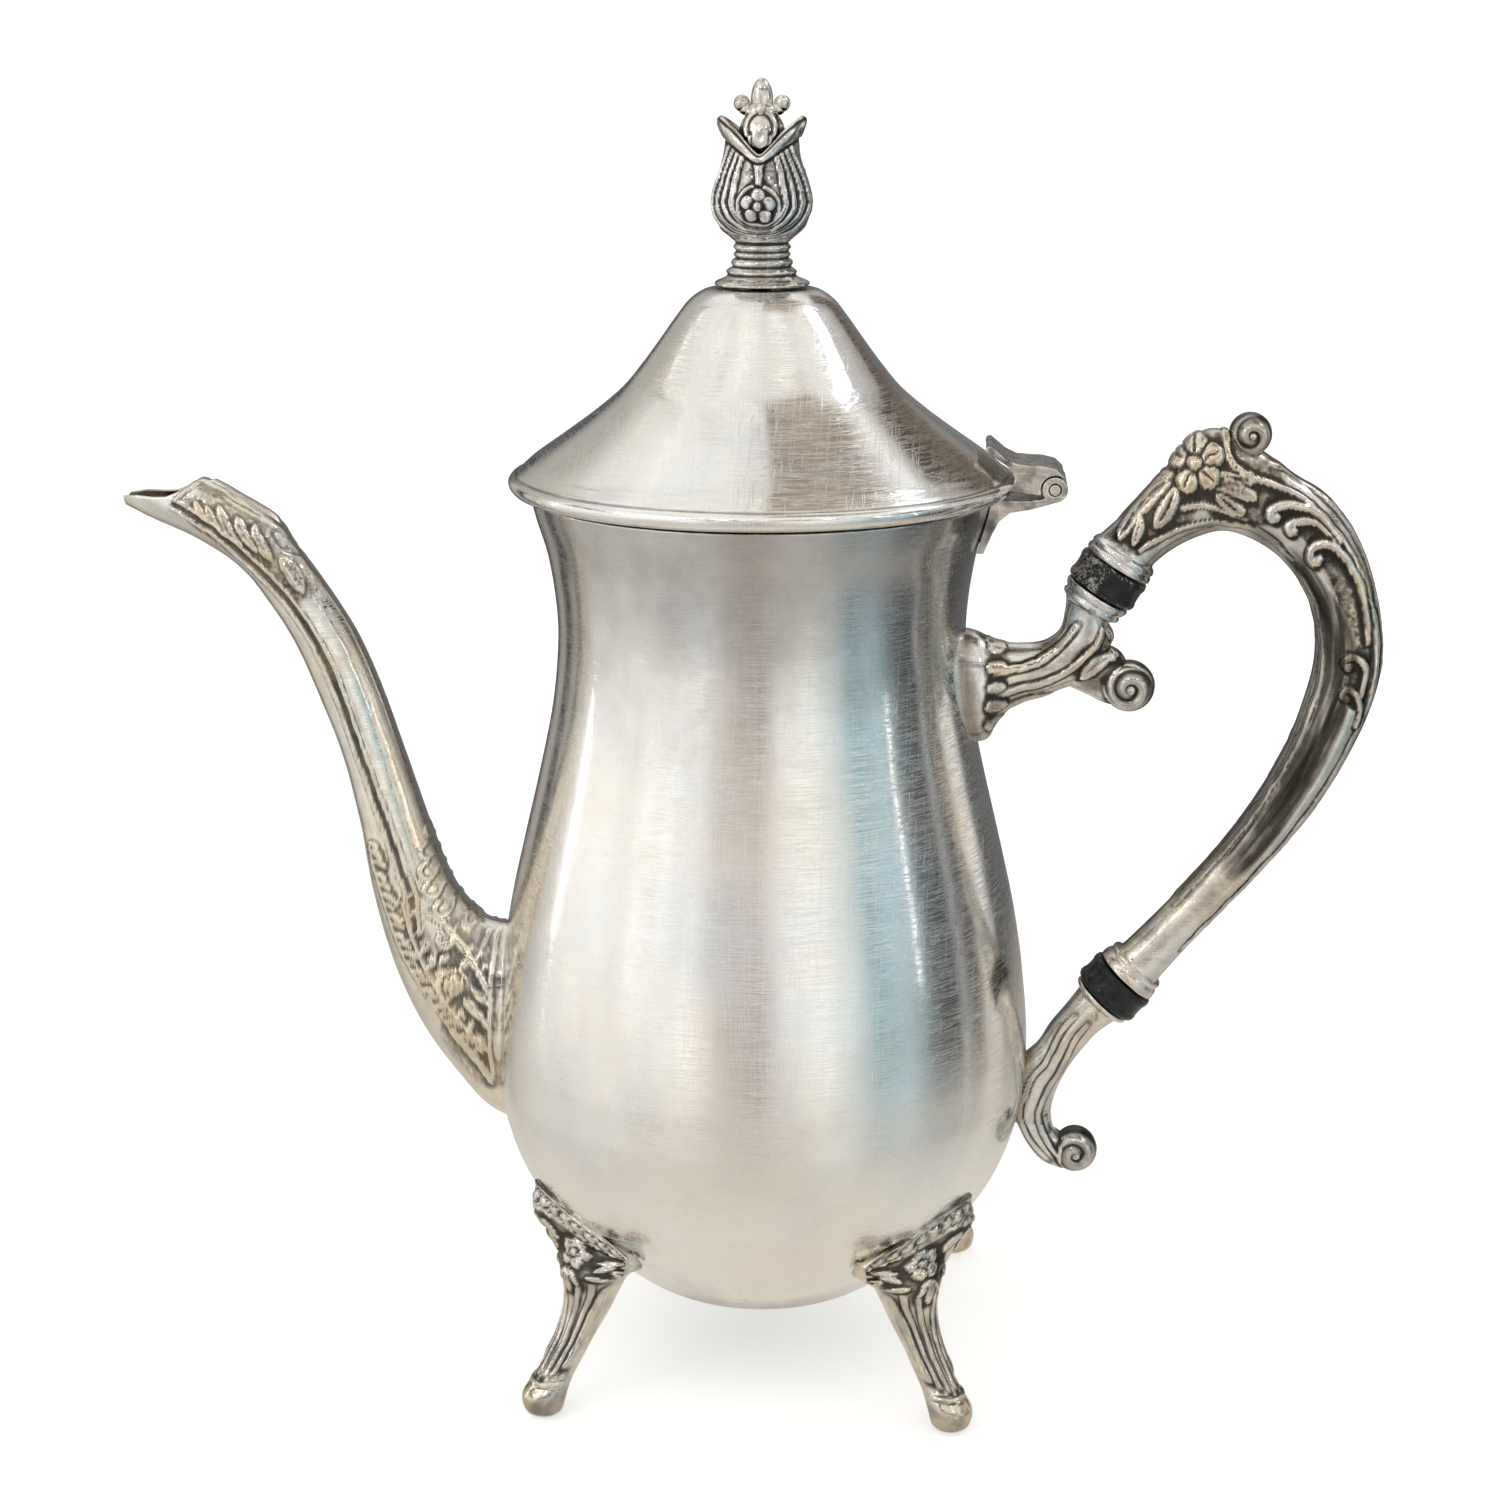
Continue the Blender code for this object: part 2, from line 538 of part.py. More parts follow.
# ---------------------------------------------------------------- feet
FOOT = [  # height, distance of the leg's middle from the pot's axis, half depth, half width
    (0.0, 59.6, 2.4, 2.4),
    (1.4, 59.9, 4.0, 4.0),
    (4.6, 59.6, 4.7, 4.6),
    (7.8, 57.2, 4.2, 4.1),
    (11.0, 54.4, 3.9, 3.9),
    (15.0, 51.3, 4.0, 3.9),
    (20.0, 48.2, 4.8, 4.7),
    (25.0, 46.4, 6.0, 6.0),
    (30.0, 46.0, 7.8, 8.2),
    (35.0, 47.4, 9.2, 11.0),
    (40.0, 48.6, 8.6, 13.2),
    (45.2, 48.4, 5.6, 13.8),
]


def foot(name, degrees):
    sides = 12
    a = math.radians(degrees)
    radial, tangent = Vector((math.cos(a), math.sin(a), 0)), Vector((-math.sin(a), math.cos(a), 0))
    bm = bmesh.new()
    rings = []
    for z, r, depth, half in FOOT:
        ring = []
        for k in range(sides):
            t = 2 * math.pi * (k + 0.5) / sides
            co = radial * (r + depth * math.cos(t)) + tangent * (half * math.sin(t)) + Vector((0, 0, z))
            ring.append(bm.verts.new(co * MM))
        rings.append(ring)
    for low, high in zip(rings, rings[1:]):
        for k in range(sides):
            n = (k + 1) % sides
            bm.faces.new((low[k], low[n], high[n], high[k]))
    bm.faces.new(rings[0])
    bm.faces.new(rings[-1])
    obj = make_object(name, bm)
    cut(obj, body_clear)
    return obj


for foot_name, foot_angle in FOOT_ANGLES.items():
    foot(foot_name, foot_angle)

bpy.context.view_layer.update()
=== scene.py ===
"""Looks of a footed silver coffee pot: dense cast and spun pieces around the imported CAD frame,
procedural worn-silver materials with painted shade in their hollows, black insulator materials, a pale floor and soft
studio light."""

import math

import bmesh
import bpy
import numpy as np
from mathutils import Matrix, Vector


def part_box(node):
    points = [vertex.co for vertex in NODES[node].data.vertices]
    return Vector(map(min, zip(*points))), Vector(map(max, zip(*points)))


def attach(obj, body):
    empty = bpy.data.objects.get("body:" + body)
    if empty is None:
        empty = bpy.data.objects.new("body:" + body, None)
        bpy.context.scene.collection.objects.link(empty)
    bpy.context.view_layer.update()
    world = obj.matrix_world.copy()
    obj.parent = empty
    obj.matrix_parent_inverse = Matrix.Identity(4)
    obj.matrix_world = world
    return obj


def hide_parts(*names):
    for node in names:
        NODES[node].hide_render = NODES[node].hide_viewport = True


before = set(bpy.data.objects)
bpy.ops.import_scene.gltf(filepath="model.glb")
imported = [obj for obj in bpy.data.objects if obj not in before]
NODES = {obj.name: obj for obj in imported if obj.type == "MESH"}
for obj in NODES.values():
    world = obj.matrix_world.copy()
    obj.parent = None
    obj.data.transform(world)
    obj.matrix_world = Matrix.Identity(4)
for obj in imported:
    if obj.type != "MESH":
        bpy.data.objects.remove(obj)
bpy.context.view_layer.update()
MM = 0.001
AXIS_X = 3.0          # the pot's turning axis stands this far from the frame's origin, mm


# ================================================================ numbers and curves
def catmull(points, per):
    p = np.asarray(points, float)
    q = np.vstack([p[:1], p, p[-1:]])
    out = []
    for i in range(1, len(q) - 2):
        a, b, c, d = q[i - 1], q[i], q[i + 1], q[i + 2]
        for k in range(per):
            t = k / per
            out.append(0.5 * (2 * b + (c - a) * t + (2 * a - 5 * b + 4 * c - d) * t * t + (3 * b - a - 3 * c + d) * t ** 3))
    out.append(p[-1])
    return np.array(out)


def resample(path, step):
    p = np.asarray(path, float)
    s = np.r_[0, np.cumsum(np.linalg.norm(np.diff(p, axis=0), axis=1))]
    n = max(2, int(round(s[-1] / step)) + 1)
    u = np.linspace(0, s[-1], n)
    return np.stack([np.interp(u, s, p[:, k]) for k in range(p.shape[1])], 1)


def offset(profile, distance):
    p = np.asarray(profile, float)
    a = np.vstack([p[:1], p[:-1]])
    b = np.vstack([p[1:], p[-1:]])
    d = b - a
    n = np.maximum(np.hypot(d[:, 0], d[:, 1]), 1e-9)
    out = np.stack([p[:, 0] + distance * d[:, 1] / n, p[:, 1] - distance * d[:, 0] / n], 1)
    out[:, 0] = np.maximum(out[:, 0], 0)
    return out


def smooth(x, a, b):
    t = np.clip((x - a) / (b - a), 0, 1)
    return t * t * (3 - 2 * t)


_lattice = np.random.RandomState(11).rand(24, 24, 24)


def value_noise(p):
    """Smooth noise, 0 to 1, at points p (..., 3) in cells of size 1."""
    q = np.asarray(p, float)
    i = np.floor(q).astype(int)
    f = q - i
    f = f * f * (3 - 2 * f)
    n = 24
    out = 0
    for dx in (0, 1):
        for dy in (0, 1):
            for dz in (0, 1):
                w = (f[..., 0] if dx else 1 - f[..., 0]) * (f[..., 1] if dy else 1 - f[..., 1]) * (f[..., 2] if dz else 1 - f[..., 2])
                out = out + w * _lattice[(i[..., 0] + dx) % n, (i[..., 1] + dy) % n, (i[..., 2] + dz) % n]
    return out


def fbm(p, size, octaves=3):
    """Noise about -1 to 1 with features of `size` mm."""
    q = np.asarray(p, float) / size
    total, weight, norm = 0, 1.0, 0
    for k in range(octaves):
        total = total + weight * (value_noise(q * 2 ** k + 7.3 * k + 50) * 2 - 1)
        norm += weight
        weight *= 0.5
    return total / norm


# ================================================================ relief, in the side view (x, z), mm
class Relief:
    """Ridges, beads, leaves, scrolls and grooves as a height over (x, z). `worn` marks worked ground."""

    def __init__(self):
        self.items = []

    def ridge(self, points, w0, w1=None, h=0.5, power=1.0, taper=0.15, per=8, split=False):
        w1 = w0 if w1 is None else w1
        self.items.append(("ridge", catmull(points, per), w0, w1, h, power, taper, split))
        return self

    def groove(self, points, w0, w1=None, h=0.3, taper=0.1, per=8):
        self.items.append(("groove", catmull(points, per), w0, w1 if w1 is not None else w0, h, taper))
        return self

    def bead(self, c, r, h=None, flat=2.0):
        self.items.append(("bead", c, r, r * 0.6 if h is None else h, flat))
        return self

    def leaf(self, a, b, width, h, crease=0.35, bend=0.0):
        self.items.append(("leaf", a, b, width, h, crease, bend))
        return self

    def volute(self, c, r, h, turns=2.0, start=0.0, hand=1):
        self.items.append(("volute", c, r, h, turns, start, hand))
        return self

    def ground(self, points, width, depth=0.15):
        self.items.append(("ground", catmull(points, 6), width, depth))
        return self

    def flower(self, c, petals, r_petal, r_ring, r_bead, h, phase=90.0):
        for k in range(petals):
            a = math.radians(phase + 360.0 * k / petals)
            tip = (c[0] + (r_ring + r_petal) * math.cos(a), c[1] + (r_ring + r_petal) * math.sin(a))
            self.leaf(c, tip, r_petal * 1.05, h, crease=0.3)
        self.bead(c, r_bead, h * 1.35)
        return self

    def height_at(self, x, z):
        """Returns (height, worked 0..1)."""
        shape = x.shape
        P = np.stack([x.ravel(), z.ravel()], 1)
        high = np.zeros(len(P))
        low = np.zeros(len(P))
        work = np.zeros(len(P))
        for it in self.items:
            kind = it[0]
            if kind in ("ridge", "groove", "ground"):
                path = it[1]
                w = max(it[2], it[3] if kind != "ground" else it[2]) * (1.9 if kind != "ground" else 1.3)
                lo, hi = path.min(0) - w, path.max(0) + w
                m = np.where(((P > lo) & (P < hi)).all(1))[0]
                if not len(m):
                    continue
                Q = P[m]
                best = np.full(len(m), 1e9)
                pos = np.zeros(len(m))
                seg = np.linalg.norm(np.diff(path, axis=0), axis=1)
                cum = np.r_[0, np.cumsum(seg)]
                total = max(cum[-1], 1e-9)
                for k in range(len(path) - 1):
                    a, d = path[k], path[k + 1] - path[k]
                    L2 = max(float(d @ d), 1e-12)
                    t = np.clip(((Q - a) @ d) / L2, 0, 1)
                    dist = np.hypot(Q[:, 0] - a[0] - t * d[0], Q[:, 1] - a[1] - t * d[1])
                    better = dist < best
                    best = np.where(better, dist, best)
                    pos = np.where(better, (cum[k] + t * seg[k]) / total, pos)
                if kind == "ridge":
                    _, _, w0, w1, h, power, taper, split = it
                    width = w0 + (w1 - w0) * pos
                    end = np.clip(np.minimum(pos, 1 - pos) / max(taper, 1e-6), 0, 1) ** 0.6 if taper else 1
                    prof = np.clip(1 - (best / width) ** 2, 0, 1) ** power
                    if split:
                        prof = prof * (1 - 0.45 * np.clip(1 - best / (0.3 * width), 0, 1))
                    high[m] = np.maximum(high[m], h * prof * end)
                    work[m] = np.maximum(work[m], 1 - smooth(best, width * 0.9, width * 1.8))
                elif kind == "groove":
                    _, _, w0, w1, h, taper = it
                    width = w0 + (w1 - w0) * pos
                    end = np.clip(np.minimum(pos, 1 - pos) / max(taper, 1e-6), 0, 1) if taper else 1
                    low[m] = np.maximum(low[m], h * np.clip(1 - (best / width) ** 2, 0, 1) * end)
                else:
                    _, _, w0, depth = it
                    g = 1 - smooth(best, w0 * 0.8, w0 * 1.1)
                    low[m] = np.maximum(low[m], depth * g)
                    work[m] = np.maximum(work[m], g)
            elif kind == "bead":
                _, c, r, h, flat = it
                d = np.hypot(P[:, 0] - c[0], P[:, 1] - c[1])
                high = np.maximum(high, h * np.clip(1 - (d / r) ** flat, 0, 1) ** 0.5)
                work = np.maximum(work, 1 - smooth(d, r, r * 1.5))
            elif kind == "leaf":
                _, a, b, width, h, crease, bend = it
                a, b = np.array(a, float), np.array(b, float)
                d = b - a
                L = max(np.hypot(*d), 1e-9)
                u = (P - a) @ d / L ** 2
                side = ((P - a) @ np.array([-d[1], d[0]])) / L - bend * 4 * u * (1 - u)
                inside = np.clip(u * (1 - u) * 4, 0, 1) ** 0.6 * width
                q = np.abs(side) / np.maximum(inside, 1e-6)
                ok = (u > 0) & (u < 1)
                prof = np.where(ok, np.clip(1 - q ** 2, 0, 1) ** 0.6, 0)
                prof = prof * (1 - crease * np.clip(1 - q / 0.35, 0, 1))
                high = np.maximum(high, h * prof)
                near = np.clip(1 - (np.hypot(P[:, 0] - (a[0] + b[0]) / 2, P[:, 1] - (a[1] + b[1]) / 2) / (L * 0.75)) ** 2, 0, 1)
                work = np.maximum(work, smooth(near, 0, 0.5))
            elif kind == "volute":
                _, c, r, h, turns, start, hand = it
                dx, dz = P[:, 0] - c[0], P[:, 1] - c[1]
                d = np.hypot(dx, dz)
                ang = np.arctan2(dz, dx) * hand / (2 * math.pi)
                phase = d / r * turns - ang + start
                wave = 0.5 + 0.5 * np.cos(2 * math.pi * phase)
                body = np.clip(1 - (d / r) ** 6, 0, 1)
                v = h * (0.25 + 0.75 * wave ** 0.6) * body
                v = np.where(d < r * 0.24, np.maximum(v, h * 1.15 * np.sqrt(np.clip(1 - (d / (r * 0.26)) ** 2, 0, 1))), v)
                high = np.maximum(high, v)
                work = np.maximum(work, 1 - smooth(d, r * 0.95, r * 1.25))
        return (high - low).reshape(shape), work.reshape(shape)


# ================================================================ a piece made of grids
class Piece:
    """Collects grids of points (mm, pot axis at x = 0) into one mesh object with wear, painted shade and tint
    attributes.
    """

    def __init__(self):
        self.verts, self.faces, self.cav, self.tint = [], [], [], []
        self.count = 0

    def grid(self, V, wrap=True, caps=(False, False), cav=None, loop=False, tint=None):
        R, C = V.shape[:2]
        base = self.count
        self.verts.append(V.reshape(-1, 3))
        self.cav.append((np.ones((R, C)) if cav is None else cav).ravel())
        self.tint.append((np.clip(1 - self.cav[-1], 0, 1) if tint is None else tint).ravel())
        idx = base + np.arange(R * C).reshape(R, C)
        rows = idx if not loop else np.vstack([idx, idx[:1]])
        cols = rows if not wrap else np.hstack([rows, rows[:, :1]])
        quads = np.stack([cols[:-1, :-1], cols[:-1, 1:], cols[1:, 1:], cols[1:, :-1]], -1).reshape(-1, 4)
        self.faces.append(quads)
        self.count += R * C
        if wrap and not loop:
            for flag, row in ((caps[0], 0), (caps[1], -1)):
                if flag:
                    centre = V[row].mean(0)
                    self.verts.append(centre[None])
                    self.cav.append(np.ones(1))
                    self.tint.append(np.zeros(1))
                    ci = self.count
                    self.count += 1
                    ring = idx[row]
                    tri = np.stack([ring, np.roll(ring, -1), np.full(C, ci), np.full(C, ci)], 1)
                    if row == 0:
                        tri = tri[:, [1, 0, 2, 3]]
                    self.faces.append(tri)
        return self

    def build(self, name, body, material, nodes=(), slot=None):
        V = np.vstack(self.verts) * MM
        V[:, 0] += AXIS_X * MM
        F = np.vstack(self.faces)
        faces = [tuple(f[:3]) if f[2] == f[3] else tuple(f) for f in F.tolist()]
        me = bpy.data.meshes.new(name)
        me.from_pydata(V.tolist(), [], faces)
        att = me.attributes.new("wear_and_shade", "FLOAT", "POINT")
        att.data.foreach_set("value", np.concatenate(self.cav).astype(np.float32))
        att = me.attributes.new("tint", "FLOAT", "POINT")
        att.data.foreach_set("value", np.concatenate(self.tint).astype(np.float32))
        bm = bmesh.new()
        bm.from_mesh(me)
        bmesh.ops.remove_doubles(bm, verts=bm.verts, dist=2e-6)
        bmesh.ops.dissolve_degenerate(bm, edges=bm.edges, dist=1e-7)
        bmesh.ops.recalc_face_normals(bm, faces=bm.faces)
        bm.to_mesh(me)
        bm.free()
        me.shade_smooth()
        obj = bpy.data.objects.new(name, me)
        bpy.context.scene.collection.objects.link(obj)
        me.materials.append(material)
        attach(obj, body)
        if nodes:
            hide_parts(*nodes)
        return obj


def grid_normals(V, wrap=True):
    if wrap:
        dc = np.roll(V, -1, 1) - np.roll(V, 1, 1)
    else:
        dc = np.gradient(V, axis=1)
    dr = np.gradient(V, axis=0)
    N = np.cross(dr, dc)
    L = np.linalg.norm(N, axis=2, keepdims=True)
    N = N / np.maximum(L, 1e-12)
    centre = V.mean(1, keepdims=True)
    if (N * (V - centre)).sum() < 0:
        N = -N
    return N


def turned(profile, sides):
    a = np.linspace(0, 2 * math.pi, sides, endpoint=False)
    p = np.asarray(profile, float)
    return np.stack([p[:, :1] * np.cos(a), p[:, :1] * np.sin(a), np.repeat(p[:, 1:2], sides, 1)], 2)


def loft(stations, sides, power=2.0, t0=0.0, t1=2 * math.pi):
    st = np.asarray(stations, float)
    t = np.linspace(t0, t1, sides, endpoint=False)
    c, s = np.cos(t), np.sin(t)
    c = np.sign(c) * np.abs(c) ** (2 / power)
    s = np.sign(s) * np.abs(s) ** (2 / power)
    cx, cz = (st[:, 0] + st[:, 2]) / 2, (st[:, 1] + st[:, 3]) / 2
    ux, uz = (st[:, 0] - st[:, 2]) / 2, (st[:, 1] - st[:, 3]) / 2
    return np.stack([cx[:, None] + ux[:, None] * c, st[:, 4][:, None] * s, cz[:, None] + uz[:, None] * c], 2)


# ================================================================ the body's outline
BODY_STATIONS = [
    (0, 13.7), (8, 13.75), (16, 14.2), (26.5, 17.2), (37.5, 26), (44.7, 33), (50.5, 41), (54.3, 50), (56.7, 61), (56.88, 72),
    (55.6, 86), (53.4, 100), (50, 115), (46.4, 130), (43.4, 145), (42.2, 160), (43.7, 174), (46.2, 183), (47.4, 187.8),
]
body_outer = catmull(BODY_STATIONS, 8)
body_outer[:, 0] = np.minimum(body_outer[:, 0], 56.88)
body_outer[0, 0] = 0.0


def body_radius(z):
    return np.interp(z, body_outer[8:, 1], body_outer[8:, 0])


def fit_to_body(V, gap=-0.14):
    """Points that would lie inside the body come out to its skin."""
    r = np.hypot(V[..., 0], V[..., 1])
    need = body_radius(V[..., 2]) + gap
    inside = (r < need) & (V[..., 2] > 16.5) & (V[..., 2] < 187.6)
    k = np.where(inside, need / np.maximum(r, 1e-6), 1.0)
    out = V.copy()
    out[..., 0] *= k
    out[..., 1] *= k
    return out


def blurred(h, rows, cols, wrap=True):
    """Box average of a height grid, `rows` and `cols` cells to each side."""
    out = h
    for _ in range(2):
        acc = np.zeros_like(out)
        for k in range(-rows, rows + 1):
            acc += out[np.clip(np.arange(len(out)) + k, 0, len(out) - 1)]
        out = acc / (2 * rows + 1)
        acc = np.zeros_like(out)
        for k in range(-cols, cols + 1):
            acc += np.roll(out, k, 1)
        out = acc / (2 * cols + 1)
    return out


def hollow_tarnish_and_shade(h, work, rows=2, cols=2, depth=0.20):
    """1 on polished high ground, falling to 0 in the deep places beside the relief: tarnish and painted shade in the
    hollows.
    """
    local = h - blurred(h, rows, cols)
    return np.clip(1 - work * np.clip(0.42 - local / depth, 0, 1), 0, 1)


def displaced(V, relief, wrap=True, side_power=0.6, amount=1.0, grain=0.0, mirror=True, uneven=0.35):
    """The grid moved along its normals by the side-view relief; also its wear values, with tarnish and painted shade in
    the hollows.
    """
    N = grid_normals(V, wrap)
    h, work = relief.height_at(V[..., 0] + uneven * fbm(V + 5.0, 3.4, 2), V[..., 2] + uneven * fbm(V + 31.0, 3.4, 2))
    face = np.clip(np.abs(N[..., 1]), 0, 1) ** side_power
    h = h * face * amount
    if grain:
        h = h + grain * work * (fbm(V, 0.55, 2) + 0.9 * fbm(V + 9.0, 1.3, 2)) * face
    cav = hollow_tarnish_and_shade(h, work * face)
    h = h + 0.05 * fbm(V, 3.2, 2)
    out = V + N * h[..., None]
    return out, cav, blurred(work * face, 4, 4)


# ================================================================ materials
def node(tree, kind, where=(0, 0), **values):
    n = tree.nodes.new(kind)
    n.location = where
    for k, v in values.items():
        setattr(n, k, v)
    return n


def math_node(tree, op, a, b=None, clamp=False):
    n = tree.nodes.new("ShaderNodeMath")
    n.operation = op
    n.use_clamp = clamp
    for i, v in enumerate((a, b)):
        if v is None:
            continue
        if isinstance(v, (int, float)):
            n.inputs[i].default_value = v
        else:
            tree.links.new(v, n.inputs[i])
    return n.outputs[0]


def ramp(tree, source, stops, interpolation="LINEAR"):
    n = tree.nodes.new("ShaderNodeValToRGB")
    n.color_ramp.interpolation = interpolation
    while len(n.color_ramp.elements) < len(stops):
        n.color_ramp.elements.new(0.5)
    for e, (p, c) in zip(n.color_ramp.elements, stops):
        e.position = p
        e.color = (c, c, c, 1) if isinstance(c, (int, float)) else (*c, 1)
    tree.links.new(source, n.inputs[0])
    return n.outputs[0]


def mix_color(tree, factor, a, b, blend="MIX"):
    n = tree.nodes.new("ShaderNodeMix")
    n.data_type = "RGBA"
    n.blend_type = blend
    for sock, v in ((n.inputs["Factor"], factor), (n.inputs["A"], a), (n.inputs["B"], b)):
        pass
    fac = [s for s in n.inputs if s.name == "Factor" and s.type == "VALUE"][0]
    ca = [s for s in n.inputs if s.name == "A" and s.type == "RGBA"][0]
    cb = [s for s in n.inputs if s.name == "B" and s.type == "RGBA"][0]
    for s, v in ((fac, factor), (ca, a), (cb, b)):
        if isinstance(v, tuple):
            s.default_value = (*v, 1)
        elif isinstance(v, (int, float)):
            s.default_value = v
        else:
            tree.links.new(v, s)
    return [s for s in n.outputs if s.type == "RGBA"][0]


def noise(tree, vector, scale, detail=3.0, rough=0.55, distortion=0.0):
    n = tree.nodes.new("ShaderNodeTexNoise")
    n.inputs["Scale"].default_value = scale
    n.inputs["Detail"].default_value = detail
    n.inputs["Roughness"].default_value = rough
    n.inputs["Distortion"].default_value = distortion
    tree.links.new(vector, n.inputs["Vector"])
    return n.outputs["Fac"]


def mapped(tree, vector, scale=(1, 1, 1), rotation=(0, 0, 0), location=(0, 0, 0)):
    n = tree.nodes.new("ShaderNodeMapping")
    n.inputs["Scale"].default_value = scale
    n.inputs["Rotation"].default_value = rotation
    n.inputs["Location"].default_value = location
    tree.links.new(vector, n.inputs["Vector"])
    return n.outputs[0]


def wrapped_coords(tree, obj_vector):
    """(arc length round the pot's axis, radius, height) so that brushing can run round the pot."""
    shifted = mapped(tree, obj_vector, location=(-AXIS_X * MM, 0, 0))
    sep = tree.nodes.new("ShaderNodeSeparateXYZ")
    tree.links.new(shifted, sep.inputs[0])
    ang = math_node(tree, "ARCTAN2", sep.outputs[1], sep.outputs[0])
    r2 = math_node(tree, "ADD", math_node(tree, "MULTIPLY", sep.outputs[0], sep.outputs[0]), math_node(tree, "MULTIPLY", sep.outputs[1], sep.outputs[1]))
    rad = math_node(tree, "SQRT", r2)
    comb = tree.nodes.new("ShaderNodeCombineXYZ")
    tree.links.new(math_node(tree, "MULTIPLY", ang, 0.05), comb.inputs[0])
    tree.links.new(rad, comb.inputs[1])
    tree.links.new(sep.outputs[2], comb.inputs[2])
    return comb.outputs[0]


def scratches(tree, vector, scale, stretch, rotation, threshold):
    """Thin straight scratches, 0 or 1, from stretched noise."""
    v = mapped(tree, vector, scale=stretch, rotation=rotation)
    f = noise(tree, v, scale, detail=2.0, rough=0.5)
    return ramp(tree, f, [(0.0, 0.0), (threshold, 0.0), (threshold + 0.015, 1.0), (threshold + 0.03, 0.0), (1.0, 0.0)])


